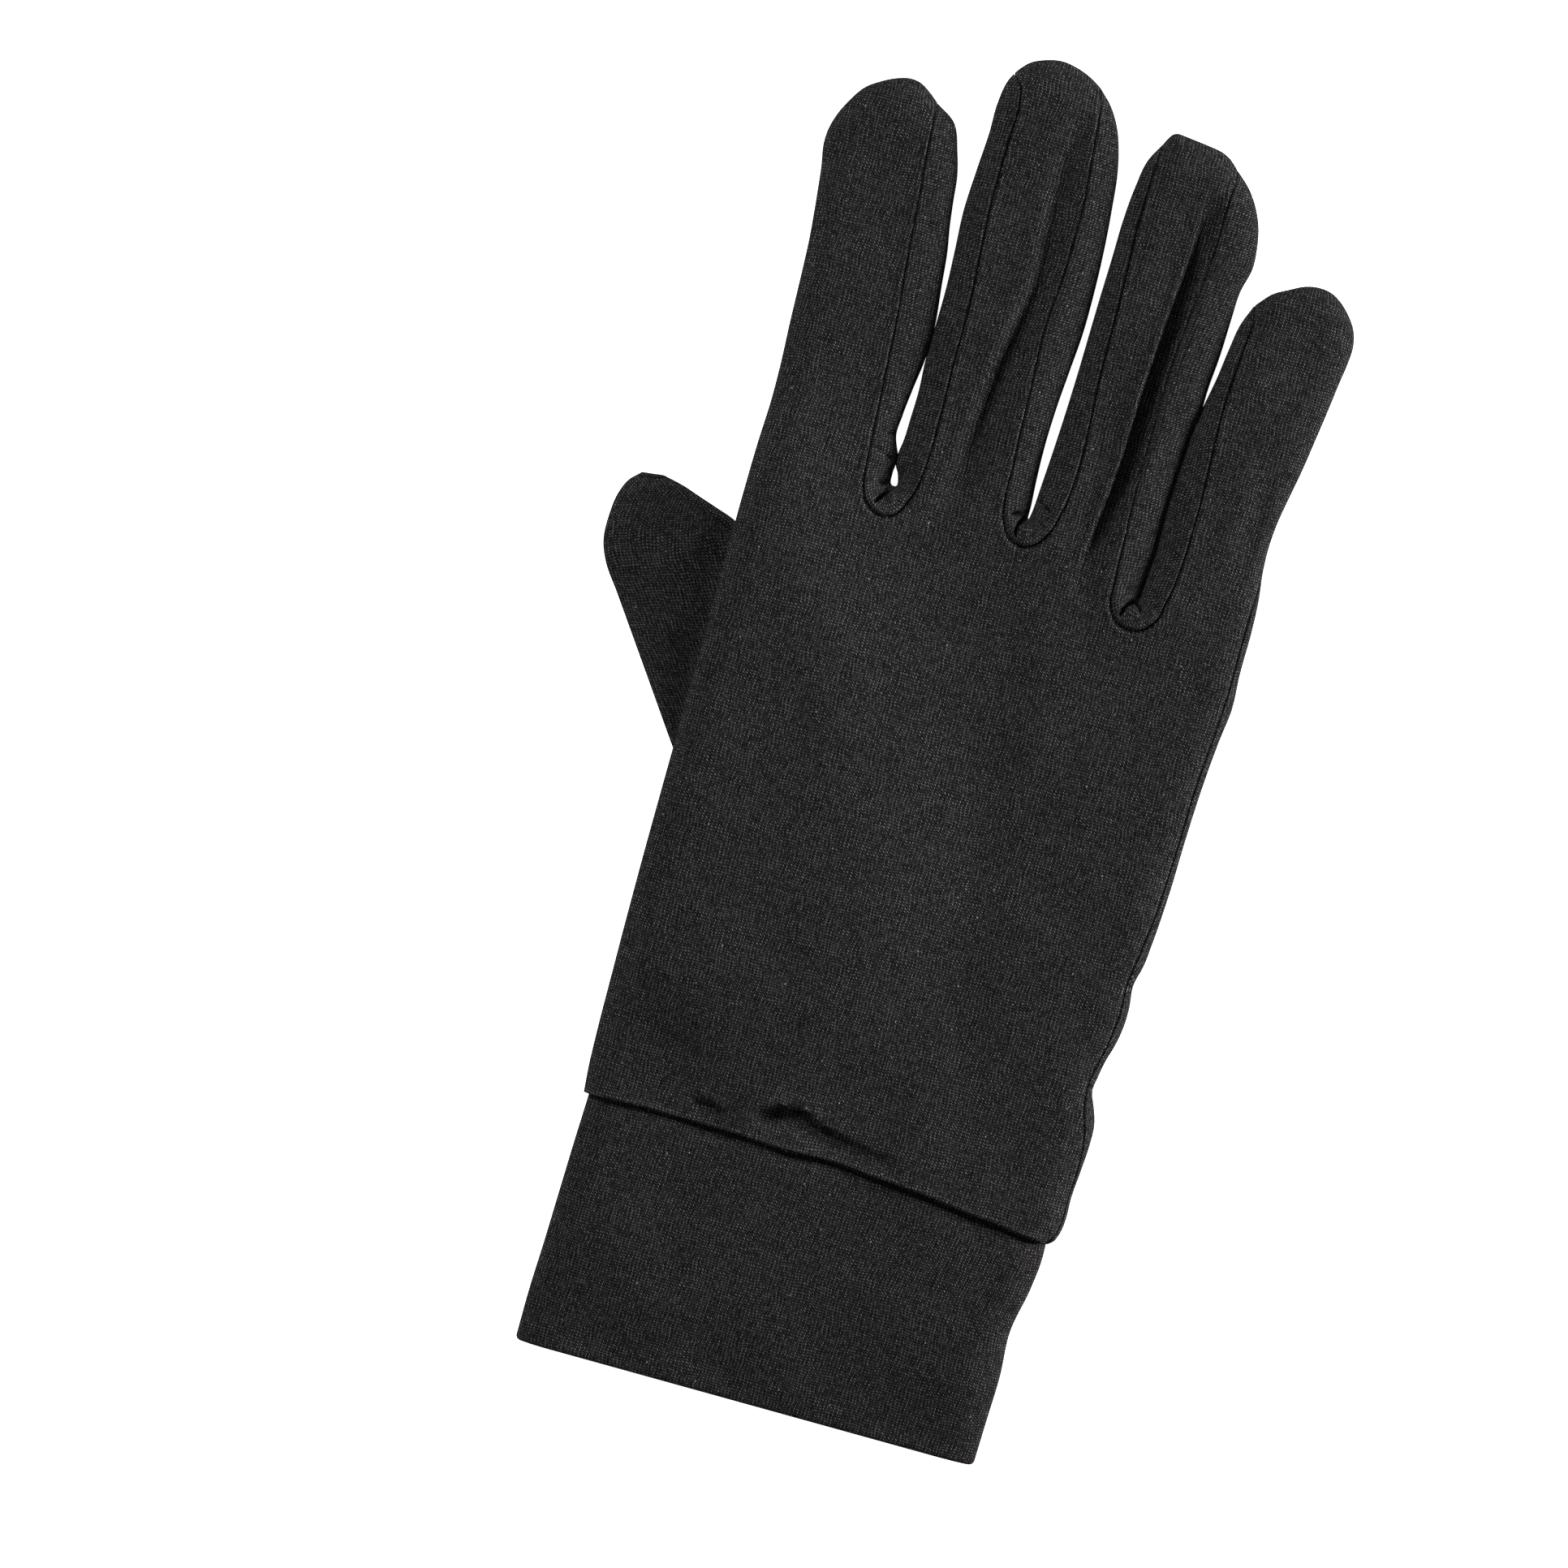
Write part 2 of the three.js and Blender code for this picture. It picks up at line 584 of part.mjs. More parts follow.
const glove = new THREE.Group();
glove.add(meshOf('back', back, KNIT_LOOK));
glove.add(meshOf('palm', palm, KNIT_LOOK));
for (const crotch of CROTCHES) {
  const strip = shell.intersect(prism(fourchetteOutline(crotch, 0), FLOOR, CEILING));
  glove.add(meshOf(crotch.name, strip, KNIT_LOOK));
}
glove.add(meshOf('thumb', thumb(), KNIT_LOOK));
glove.add(meshOf('cuff', cuff(), CUFF_LOOK));

// The origin goes to the middle of the glove's footprint, on the surface it lies on.
const box = new THREE.Box3().setFromObject(glove);
glove.position.set(-(box.min.x + box.max.x) / 2, -(box.min.y + box.max.y) / 2, -box.min.z);
glove.updateMatrixWorld(true);

export default glove;
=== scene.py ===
# %% [markdown]
# # A fine-knit wool glove, lying flat
#
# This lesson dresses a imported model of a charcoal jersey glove. It is a right-hand glove,
# back of the hand up, sewn from a back and a palm, three strips between the fingers, a
# thumb pouch folded beneath the palm, and a doubled cuff.
#
# Every piece is drafted as a dressmaker would: flat, in millimetres. "Across" runs from the
# glove's own axis to the little-finger side, "along" from the cuff's lower edge to the
# fingertips. Only the last step turns millimetres into Blender's metres.

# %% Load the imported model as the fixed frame
import math

import bpy
import numpy as np
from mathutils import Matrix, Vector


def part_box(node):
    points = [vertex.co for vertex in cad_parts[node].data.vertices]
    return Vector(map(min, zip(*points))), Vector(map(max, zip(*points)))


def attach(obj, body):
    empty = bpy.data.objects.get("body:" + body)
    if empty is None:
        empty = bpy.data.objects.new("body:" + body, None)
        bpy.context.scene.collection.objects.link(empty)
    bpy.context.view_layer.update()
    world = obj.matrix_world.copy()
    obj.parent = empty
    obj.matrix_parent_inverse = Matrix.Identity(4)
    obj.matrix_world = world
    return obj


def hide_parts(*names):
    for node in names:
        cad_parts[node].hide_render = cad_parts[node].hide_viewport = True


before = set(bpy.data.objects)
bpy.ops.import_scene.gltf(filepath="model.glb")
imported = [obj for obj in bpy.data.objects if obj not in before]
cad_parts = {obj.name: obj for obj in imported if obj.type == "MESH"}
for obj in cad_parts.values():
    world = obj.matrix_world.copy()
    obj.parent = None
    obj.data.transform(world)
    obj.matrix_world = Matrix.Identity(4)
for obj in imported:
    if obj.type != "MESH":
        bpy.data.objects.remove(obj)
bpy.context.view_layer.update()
scene = bpy.context.scene
print("nodes:", sorted(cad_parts))

# %% [markdown]
# ## The draft and the frame
#
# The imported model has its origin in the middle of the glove's footprint, and the draft has
# it at the middle of the cuff's lower edge. One shift, in millimetres, leads from one to
# the other. The shift could be read off the cuff's box alone, but two named numbers are
# easier to check against every node.

# %% From the draft to the frame
DRAFT_SHIFT = np.array([5.741, -125.505, 0.0])
MM = 0.001


def to_frame(points):
    """Draft points in millimetres, moved to the frame and given in metres."""
    return (np.asarray(points, float) + DRAFT_SHIFT) * MM


cuff_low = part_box("cuff")[0]
print("cuff's lower edge lies at", round(cuff_low.y / MM - DRAFT_SHIFT[1], 2), "mm along")

# %% [markdown]
# ## Smooth lines from a few readings
#
# A pattern cutter marks some points and draws a curve through them. A cubic spline does
# the same: it passes through every point, and its direction there is the mean of the two
# neighbouring directions. Polylines would leave corners in the finger edges, and curves
# drawn with handles would need twice the numbers.


# %% A spline through marked points
def spline(points, step):
    """Points evenly spaced by about step along the curve through the marked points.

    Between two marks the place is a cubic blend of both places and of both
    directions; a direction is the mean of the slopes on both sides, in which the shorter
    side counts more. Extra columns of a point are blended in the same way.
    """
    p = np.asarray(points, float)
    gap = np.maximum(np.linalg.norm(np.diff(p, axis=0), axis=1), 1e-6)
    reach = running(gap)
    slope = np.diff(p, axis=0) / gap[:, None]
    lean = np.empty_like(p)
    lean[0], lean[-1] = slope[0], slope[-1]
    lean[1:-1] = (slope[:-1] * gap[1:, None] + slope[1:] * gap[:-1, None]) / (
        gap[:-1] + gap[1:]
    )[:, None]
    t = np.linspace(0, reach[-1], max(3, int(reach[-1] / step) + 2))
    i = np.clip(np.searchsorted(reach, t, side="right") - 1, 0, len(gap) - 1)
    h = gap[i][:, None]
    x = ((t - reach[i])[:, None]) / h
    return (
        (2 * x**3 - 3 * x**2 + 1) * p[i]
        + (x**3 - 2 * x**2 + x) * h * lean[i]
        + (3 * x**2 - 2 * x**3) * p[i + 1]
        + (x**3 - x**2) * h * lean[i + 1]
    )


def smoothstep(x, low, high):
    """Nought below low, one above high, and the S-curve 3 t^2 - 2 t^3 between them."""
    t = np.clip((np.asarray(x, float) - low) / (high - low), 0, 1)
    return t * t * (3 - 2 * t)


def bell(x, width):
    """A bell curve of height one: width is where it has fallen to about a third."""
    return np.exp(-((x / width) ** 2))


def running(steps, axis=0):
    """The sum of the steps so far along an axis, from nought."""
    return np.insert(np.cumsum(steps, axis), 0, 0.0, axis)


def lengths(points, axis=0):
    """How far along a line, or along each row of a grid, its points lie."""
    return running(np.linalg.norm(np.diff(points, axis=axis), axis=-1), axis)


print("through three marks:", len(spline([(0, 0), (3, 4), (6, 0)], 0.5)), "points")

# %% [markdown]
# ## The strips between the fingers
#
# A glove that fits has fourchettes: narrow strips sewn between the front and the back of
# two fingers. Each strip runs down one finger, round the crotch and up the next finger.
# Its outer line is the seam on the back, its middle line is the finger's own edge. Both
# lines are marked together, row by row, so that straight lines across the strip join them.

# %% Marks of the three strips
# seam across, seam along, edge across, edge along
STRIPS = {
    "index_middle": [
        (-29.2, 237.6, -29.2, 237.6), (-29.1, 234, -25.4, 235), (-28.8, 230, -23.4, 230),
        (-28.5, 226, -22.3, 226), (-28.0, 221, -21.7, 221), (-27.6, 216.5, -21.1, 216.5),
        (-27.2, 211.5, -20.3, 212), (-26.7, 206, -19.67, 206), (-25.9, 197.5, -18.83, 197.5),
        (-25.5, 192.2, -18.95, 192.2), (-25.15, 186, -19.7, 186), (-24.85, 181, -20.2, 181),
        (-24.6, 177, -20.3, 177), (-24.5, 175.3, -19.7, 175.3), (-24.4, 174, -19.15, 174),
        (-24.3, 172.2, -19.02, 172.2), (-24.15, 169.5, -19.15, 170.8),
        (-23.8, 166.8, -19.1, 169.0), (-22.4, 163.7, -18.8, 168.4), (-19.6, 162, -18.45, 168.25),
        (-16.9, 162.8, -18.0, 168.3), (-15.0, 165.8, -17.8, 168.9), (-13.9, 169.3, -18.3, 170.7),
        (-13.6, 172.2, -19.05, 172.2), (-13.5, 174, -19.18, 174), (-13.4, 176.5, -18.85, 176.5),
        (-13.45, 181, -18.7, 181), (-13.5, 186, -18.6, 186), (-13.7, 192.2, -18.92, 192.2),
        (-13.7, 197.5, -18.85, 197.5), (-13.9, 206, -18.8, 206), (-14.3, 212, -19.1, 212.5),
        (-14.8, 220, -19.5, 220), (-14.9, 228, -19.2, 228), (-14.8, 235, -18.8, 235),
        (-14.7, 240.5, -18.8, 240.5), (-15.6, 244.4, -18.2, 244.6), (-17.4, 246.5, -17.4, 246.5),
    ],
    "middle_ring": [
        (-1.4, 248.3, -1.4, 248.3), (-0.7, 245.6, 1.3, 245.6), (-0.2, 242, 3.5, 242),
        (0.2, 238, 4.9, 238), (0.6, 234, 5.8, 234), (1.2, 228, 6.5, 228), (1.4, 221, 7.1, 221),
        (1.2, 212, 7.5, 212), (0.6, 204, 7.5, 204), (0.7, 197, 7.0, 197), (1.0, 190, 6.5, 190),
        (1.3, 183, 6.3, 183), (1.6, 176, 6.5, 176), (1.8, 170.7, 6.8, 171.2),
        (2.6, 167.2, 6.8, 169.5), (4.4, 164.4, 6.85, 169.1), (6.5, 163.4, 6.9, 169.0),
        (9.2, 164.3, 7.0, 169.1), (11.1, 166.7, 7.1, 169.5), (12.3, 170.7, 7.3, 171),
        (13.1, 176, 7.6, 176), (13.3, 183, 8.0, 183), (13.0, 190, 8.3, 190),
        (12.6, 197, 8.5, 197), (12.5, 204, 8.6, 204), (12.4, 211, 8.7, 211),
        (12.1, 219, 8.9, 219), (11.9, 226, 9.0, 226), (12.0, 232.5, 9.5, 232.5),
        (12.1, 238, 10.5, 238), (12.3, 241.4, 12.3, 241.4),
    ],
    "ring_little": [
        (26.9, 240.3, 26.9, 240.3), (26.8, 237.6, 29.6, 237.8), (26.6, 232.5, 32.8, 232.5),
        (26.6, 227.5, 34.0, 227.5), (26.5, 224, 34.2, 224), (26.1, 219, 33.1, 219),
        (25.6, 214, 32.9, 214), (24.9, 207, 32.7, 207), (24.5, 200, 32.2, 200),
        (24.4, 196.5, 32.15, 196.8), (24.4, 192, 31.57, 192), (24.3, 184, 31.19, 185),
        (24.4, 176, 30.94, 176), (24.7, 169, 30.99, 169.6), (25.0, 162.5, 30.57, 164),
        (25.6, 157.2, 30.33, 161), (27.4, 154.7, 30.31, 160.65), (30.0, 154, 30.3, 160.5),
        (32.2, 154.7, 30.29, 160.65), (34.0, 156.6, 30.27, 161), (35.1, 160.5, 30.35, 164),
        (36.0, 167, 30.73, 169.6), (36.3, 175, 30.68, 176), (36.2, 183, 30.93, 185),
        (35.9, 190, 31.35, 192), (35.8, 196.5, 32.1, 196.8), (36.0, 203, 33.2, 203),
        (36.4, 208.5, 33.9, 208.5), (36.8, 213.4, 34.7, 213.4), (36.2, 217.4, 36.2, 217.4),
    ],
}
STRIP_STEP = 0.25
strips = {name: spline(marks, STRIP_STEP) for name, marks in STRIPS.items()}
print({name: f"{len(line)} rows" for name, line in strips.items()})

# %% [markdown]
# ## The outline of the hand
#
# The rest of the outline is marked in the same way: up the index-finger side, over each
# fingertip, and down the little-finger side. Put between these lines, the strips' own edges
# complete the silhouette, so a strip and the cloth beside it can never part.

# %% Outline of the hand, clockwise as seen from above
SIDE_STEP, TIP_STEP = 0.6, 0.5
index_side = spline(
    [
        (-43.3, 46.8), (-43.7, 51.6), (-43.95, 58), (-44.15, 70), (-44.3, 90), (-44.3, 120),
        (-44.35, 145), (-44.4, 160), (-44.3, 170), (-44.1, 177), (-44.2, 184), (-44.6, 192),
        (-44.9, 200), (-45.3, 208), (-46.1, 216), (-46.7, 221), (-47.4, 225.2), (-47.3, 227.6),
        (-46.6, 230.4), (-44.9, 234), (-42.8, 237), (-40.4, 238.7), (-37.6, 240.1),
        (-34.9, 240.7), (-33.2, 240.4), (-31.2, 239.2), (-29.2, 237.6),
    ],
    SIDE_STEP,
)
middle_tip = spline(
    [(-17.4, 246.5), (-16.4, 247.9), (-15.0, 249.3), (-12.4, 250.5), (-9.5, 251.1),
     (-6.2, 250.6), (-3.2, 249.4), (-1.4, 248.3)],
    TIP_STEP,
)
ring_tip = spline(
    [(12.3, 241.4), (13.0, 242.8), (13.7, 243.7), (14.5, 244.0), (15.8, 243.9), (18.5, 243.6),
     (21.3, 243.25), (23.2, 242.9), (24.7, 242.2), (26.9, 240.3)],
    TIP_STEP,
)
little_side = spline(
    [
        (36.2, 217.4), (37.3, 218.7), (38.6, 220.2), (41.6, 222), (44.2, 223.3), (47.0, 223.8),
        (49.6, 223.3), (51.5, 222.1), (53.4, 220.2), (54.8, 218.2), (55.6, 215.6),
        (55.5, 211.5), (55.0, 208), (54.4, 203), (53.6, 197), (52.6, 190), (51.7, 185),
        (50.9, 180), (50.6, 175), (50.8, 170.7), (51.4, 166), (51.7, 160), (51.7, 152),
        (52.0, 145), (51.4, 140), (50.6, 130), (50.2, 120), (50.0, 110), (49.4, 100),
        (49.0, 96), (48.1, 92), (48.5, 88), (48.4, 84), (47.9, 81), (46.8, 77), (46.3, 74),
        (46.0, 71.6), (47.0, 69), (48.0, 66), (48.2, 62), (47.9, 57), (47.5, 51.6),
        (47.6, 48), (47.2, 45), (46.4, 43.2), (45.6, 42.6),
    ],
    SIDE_STEP,
)
edges = {name: line[:, 2:4] for name, line in strips.items()}
silhouette = np.concatenate([
    index_side, edges["index_middle"][1:], middle_tip[1:], edges["middle_ring"][1:],
    ring_tip[1:], edges["ring_little"][1:], little_side[1:],
])
print("silhouette:", len(silhouette), "points, tip at", silhouette[:, 1].max().round(1))

# %% [markdown]
# ## How far in from the edge
#
# An empty glove lies like a flattened tube: thick in the middle and rounded at its edges.
# So the first thing to know about any point is its distance to the outline. It is smoothed
# a little away from the edge, because the plain distance has creases where two edges are
# equally near, and cloth has none there.


# %% Distance to a line
SEARCH_CELL = 8.0


def nearest(points, line):
    """For each plan point the distance to a polyline, its nearest point there, the side
    it lies on (positive to the right of the line's direction of travel) and how far
    along the line that is.

    The points are taken a square cell at a time. A segment counts for a cell only if it
    isn't further from the middle of the cell's points than the closest one by more than
    those points spread, so few of the segments are ever measured.
    """
    start, run = line[:-1], np.diff(line, axis=0)
    squared = np.maximum((run**2).sum(1), 1e-12)
    middle, reach = start + run / 2, np.sqrt(squared) / 2
    so_far = running(2 * reach)
    key = np.floor(points / SEARCH_CELL).astype(int)
    order = np.lexsort((key[:, 0], key[:, 1]))
    ends = np.flatnonzero(np.any(np.diff(key[order], axis=0), axis=1)) + 1
    away, side, along = np.empty((3, len(points)))
    foot = np.empty((len(points), 2))
    for rows in np.split(order, ends):
        p = points[rows]
        centre = p.mean(0)
        radius = np.linalg.norm(p - centre, axis=1).max()
        far = np.linalg.norm(middle - centre, axis=1)
        close = np.flatnonzero(far - reach <= far.min() + 2 * radius)
        rel = p[:, None, :] - start[close]
        share = np.clip((rel * run[close]).sum(2) / squared[close], 0, 1)
        off = rel - share[..., None] * run[close]
        best = (off**2).sum(2).argmin(1)
        d, way = off[np.arange(len(p)), best], run[close[best]]
        away[rows] = np.linalg.norm(d, axis=1)
        foot[rows] = p - d
        side[rows] = np.sign(way[:, 1] * d[:, 0] - way[:, 0] * d[:, 1])
        part = share[np.arange(len(p)), best]
        along[rows] = so_far[close[best]] + part * 2 * reach[close[best]]
    return away, foot, side, along


# %% A smoothed map of the distance
CELL = 0.5
BLUR = 1.6
MAP_ACROSS, MAP_ALONG = (-52, 62), (36, 258)
map_across, map_along = np.arange(*MAP_ACROSS, CELL), np.arange(*MAP_ALONG, CELL)
cells = np.stack(np.meshgrid(map_across, map_along), -1).reshape(-1, 2)
coarse = silhouette[::2]  # every second point is near enough for the map
away = nearest(cells, coarse)[0].reshape(len(map_along), len(map_across))


def within(across, along, outline):
    """True at a grid's points inside a closed outline: an odd number of crossings lies
    on their left. The sign of the nearest edge would fail beyond a narrow crotch."""
    start, end = outline, np.roll(outline, -1, axis=0)
    rows = []
    for level in along:
        cut = (start[:, 1] > level) != (end[:, 1] > level)
        a, b = start[cut], end[cut]
        x = a[:, 0] + (level - a[:, 1]) / (b[:, 1] - a[:, 1]) * (b[:, 0] - a[:, 0])
        rows.append(np.searchsorted(np.sort(x), across) % 2 == 1)
    return np.array(rows)


below = np.array([(silhouette[-1, 0], 0.0), (silhouette[0, 0], 0.0)])
inside = within(map_across, map_along, np.concatenate([silhouette, below]))
distance_map = np.where(inside, away, -away)
taps = np.arange(-10, 11)  # cells, about three times the blur to either side
kernel = np.exp(-0.5 * (taps * CELL / BLUR) ** 2)
kernel /= kernel.sum()
blurred = sum(w * np.roll(distance_map, t, axis=0) for t, w in zip(taps, kernel))
blurred = sum(w * np.roll(blurred, t, axis=1) for t, w in zip(taps, kernel))
print("distance map:", blurred.shape, "largest", blurred.max().round(1), "mm")


LAST_PLACE = 1.001  # cells before the end, so that a cell has a next neighbour


def look_up(image, points):
    """Reads a map at plan points, as a mean of its four nearest cells, weighted by how
    near they are. Points beyond the map are read at its edge."""
    x = np.clip((points[:, 0] - map_across[0]) / CELL, 0, len(map_across) - LAST_PLACE)
    y = np.clip((points[:, 1] - map_along[0]) / CELL, 0, len(map_along) - LAST_PLACE)
    i, j = y.astype(int), x.astype(int)
    fy, fx = y - i, x - j
    return (
        image[i, j] * (1 - fy) * (1 - fx) + image[i, j + 1] * (1 - fy) * fx
        + image[i + 1, j] * fy * (1 - fx) + image[i + 1, j + 1] * fy * fx
    )


# %% [markdown]
# ## Folds, puckers and slow waves
#
# Folds are valleys along a marked line, each with its own width and depth on either flank
# and often a ridge beside it. They run across seams, so they belong to the hand's height,
# which every piece of its upper side shares. Puckers and gathers are short pleats where
# more cloth is sewn in than lies flat. Slow waves keep the rest from looking ironed.


# %% Rules for folds
FOLD_MARK_STEP = 1.0
RIDGE_PLACE, RIDGE_WIDTH = 2.0, 1.1  # in widths of the valley beside it
WAVE_COUNT = 9


def valley(plan, marks, left_width, right_width, left_ridge=0.0, right_ridge=0.0, flat=0.0):
    """A valley along marked rows (across, along, depth), with a floor that is flat for
    that many millimetres to either side. Beyond it the sides rise as a bell curve falls,
    each with its own width left and right of the way it runs, and a ridge may stand
    beside either."""
    marks = spline(marks, FOLD_MARK_STEP)
    away, _, side, along = nearest(plan, marks[:, :2])
    depth = np.maximum(np.interp(along, lengths(marks[:, :2]), marks[:, 2]), 0)
    x = np.maximum(away - flat, 0) * side
    shape = -bell(x, np.where(x < 0, left_width, right_width))
    shape += left_ridge * bell(x + RIDGE_PLACE * left_width, left_width * RIDGE_WIDTH)
    shape += right_ridge * bell(x - RIDGE_PLACE * right_width, right_width * RIDGE_WIDTH)
    return depth * shape


def waves(plan, length, seed):
    """A sum of sine waves, each in a random direction and 0.7 to 1.5 times that length,
    over the root of their number, so that the sum mostly stays within one."""
    random = np.random.default_rng(seed)
    angle = random.uniform(0, math.pi, WAVE_COUNT)
    k = 2 * math.pi / (length * random.uniform(0.7, 1.5, WAVE_COUNT))
    phase = random.uniform(0, 2 * math.pi, WAVE_COUNT)
    flow = plan[:, :1] * np.cos(angle) * k + plan[:, 1:2] * np.sin(angle) * k + phase
    return np.sin(flow).sum(1) / math.sqrt(WAVE_COUNT)


print("waves over the map: usual height", waves(cells, length=26, seed=3).std().round(2))

# %% Marks of the folds: across, along, depth
FOLDS = [  # marks; left and right width; left and right ridge; half of the flat floor
    ([(19.0, 156, 0.0), (20.0, 165, 1.3), (21.0, 173.7, 2.8), (21.9, 182, 3.6),
      (22.3, 195.4, 3.8), (23.0, 208, 3.4), (23.9, 220, 2.6), (24.3, 227, 1.5),
      (24.0, 235, 0.0)], 0.6, 1.1, 0.13, 0.05, 1.1),
    ([(-10, 160, 0.0), (-8, 168, 0.8), (-6.4, 175, 1.6), (-5.6, 181, 2.2), (-4.8, 188, 2.7),
      (-4.2, 195, 2.9), (-3.0, 203, 2.8), (-2.1, 211, 2.4), (-2.4, 221, 2.0), (-3.2, 230, 1.5),
      (-3.2, 238, 0.9), (-3, 246, 0.0)], 1.7, 2.2, 0.1, 0.04, 0.3),
    ([(44.6, 154, 0.0), (45.4, 164, 0.3), (46.6, 173, 0.8), (46.9, 180, 1.0), (46.8, 186, 0.8),
      (46.4, 194, 0.0)], 2.4, 2.0, 0.1, 0.0),
    ([(-12.8, 50.6, 0.0), (-11.2, 51.9, 2.0), (-8.8, 52.7, 2.8), (-4.35, 53.3, 2.6),
      (-0.8, 51.7, 2.3), (5.2, 50.6, 1.7), (10.5, 49.7, 1.1), (17, 49.6, 0.0)],
     0.8, 2.2, 0.2, 0.0),
    ([(-24.5, 50.9, 0.0), (-21.8, 50.7, 1.5), (-19.0, 50.1, 1.6), (-17.0, 49.4, 0.0)],
     0.7, 1.2, 0.1, 0.0),
    ([(-27.4, 214.6, 0.0), (-25.5, 215.2, 0.5), (-23.0, 215.9, 0.5), (-21.0, 216.4, 0.1)],
     0.45, 0.6, 0.3, 0.3),
    ([(-16.4, 239.4, 0.0), (-15.2, 239.2, 0.5), (-13.7, 238.9, 0.4), (-12.4, 238.6, 0.0)],
     0.4, 0.5, 0.3, 0.3),
]
RISES = [
    ([(-17.2, 47.2, 0.0), (-16.0, 48.4, 0.9), (-14.2, 50.6, 1.3), (-12.4, 53.0, 1.3),
      (-9.9, 55.4, 1.0), (-7.9, 57.7, 0.0)], 1.1, 1.0),
]
print(len(FOLDS), "folds and", len(RISES), "rise")

# %% All folds of the upper side together
PLEAT, PLEAT_HEIGHT = 1.1, 0.07
PLEAT_SWAY, SWAY_TURN = 1.4, 0.7  # how far the pleats' spacing wanders, and how fast
PLEATS_RISE, PLEATS_FADE = (-18, -13), (0, 12)  # across
PLEATS_ALONG, PLEATS_REACH = 50.5, 3.2
SLOW_WAVES = [(0.20, 26, 3), (0.08, 11, 5)]  # height, length, seed of the random draws


def top_folds(plan):
    """The sum of all valleys, less the rises, with the small pleats gathered above the
    hem, which are a sine across, and the slow waves."""
    z = sum(valley(plan, *fold) for fold in FOLDS)
    z -= sum(valley(plan, *rise) for rise in RISES)
    x = plan[:, 0]
    ripple = np.sin(x * 2 * math.pi / PLEAT + PLEAT_SWAY * np.sin(x * SWAY_TURN))
    where = smoothstep(x, *PLEATS_RISE) * (1 - smoothstep(x, *PLEATS_FADE))
    z += PLEAT_HEIGHT * ripple * where * bell(plan[:, 1] - PLEATS_ALONG, PLEATS_REACH)
    for height, length, seed in SLOW_WAVES:
        z += height * waves(plan, length, seed)
    return z


# %% [markdown]
# ## The height of the empty glove
#
# The tube's half-thickness rises from the outline as a quarter of an ellipse. The folded
# thumb lies beneath the palm and lifts the hand there by its own thickness. These rules
# and numbers are the same as in the solids of the frame. Only the slope down from the
# thumb is longer on the back, because the cloth there spans the hollow of the hand.

# %% Heights of the flattened tube
EDGE_ROUND = 6.0
THICKNESS = np.array([(42, 9.3), (60, 8.4), (100, 7.8), (165, 7.4), (252, 7.0)])
THUMB_FROM, THUMB_TO = np.array([-24.0, 92.0]), np.array([-51.0, 147.0])
THUMB_REACH, THUMB_FALL, UNDER_PALM = 17.5, 15.0, 3.7
SOFT_FALL, SOFT_FADE = 26.0, 6.0
FOLDS_FADE = 3.5
EXACT_TO, SMOOTH_FROM = 1.2, 3.2
GROOVE_WIDTH, BESIDE_SEAM, BESIDE_WIDTH = 0.2, 0.65, 0.35
GROOVE_FADE = (0.2, 3.0)
KNIT = 1.0


def dome(distance, reach):
    """A quarter-ellipse: nought at an edge, one from reach inwards."""
    left = 1 - np.clip(distance / reach, 0, 1)
    return np.sqrt(1 - left**2)


def lift(plan, fall=THUMB_FALL):
    """How far the palm is raised: UNDER_PALM as far as THUMB_REACH from the thumb's axis,
    and from there an S-curve down to nought."""
    axis = THUMB_TO - THUMB_FROM
    share = np.clip((plan - THUMB_FROM) @ axis / (axis @ axis), 0, 1)
    off = np.linalg.norm(plan - THUMB_FROM - share[:, None] * axis, axis=1)
    return UNDER_PALM * (1 - smoothstep(off - THUMB_REACH, 0, fall))


def inset(plan):
    """Distance in from the silhouette and the nearest point of it. The distance is exact
    as far in as EXACT_TO and the smoothed map's from SMOOTH_FROM on."""
    away, foot, *_ = nearest(plan, silhouette)
    smooth = look_up(blurred, plan)
    mix = smoothstep(away, EXACT_TO, SMOOTH_FROM)
    return away * (1 - mix) + np.maximum(smooth, 0) * mix, foot


def groove(distance, away, depth=0.30, ridge=0.13):
    """A bell-shaped groove along a seam, and a bell-shaped ridge beside it. Where the seam
    runs out over the hand's edge both shrink to a tenth, so that they don't notch it."""
    shallow = 0.1 + 0.9 * smoothstep(away, *GROOVE_FADE)
    sunk = depth * bell(distance, GROOVE_WIDTH)
    return shallow * (ridge * bell(distance - BESIDE_SEAM, BESIDE_WIDTH) - sunk)


def tube(plan, side, away, relief):
    """Middle plus or minus the half-thickness, which is a dome of the distance inwards,
    and the relief of the seams. The folds shape the upper side and fade out at the edge."""
    full = np.interp(plan[:, 1], THICKNESS[:, 0], THICKNESS[:, 1])
    raised, soft = lift(plan), lift(plan, SOFT_FALL)
    raised += (soft - raised) * smoothstep(away, 0.0, SOFT_FADE) * (side > 0)
    middle = raised + full / 2
    folds = top_folds(plan) * smoothstep(away, 0.0, FOLDS_FADE) * (side > 0)
    return middle + side * ((full / 2) * dome(away, EDGE_ROUND) + relief) + folds


knuckle_thick = np.interp(165, THICKNESS[:, 0], THICKNESS[:, 1])
print("tube:", knuckle_thick, "mm thick at the knuckles, raised by up to", UNDER_PALM, "mm")

# %% [markdown]
# ## Cloth coordinates
#
# A knit pattern has to follow the cloth, so each point also gets a place on the flat cloth
# in millimetres. On the flat of the hand that is its plan place. Near an edge the cloth
# goes down steeply, and more cloth lies there than the plan shows, so the place moves
# outwards by the missing length. Projecting the pattern from above would smear it there.

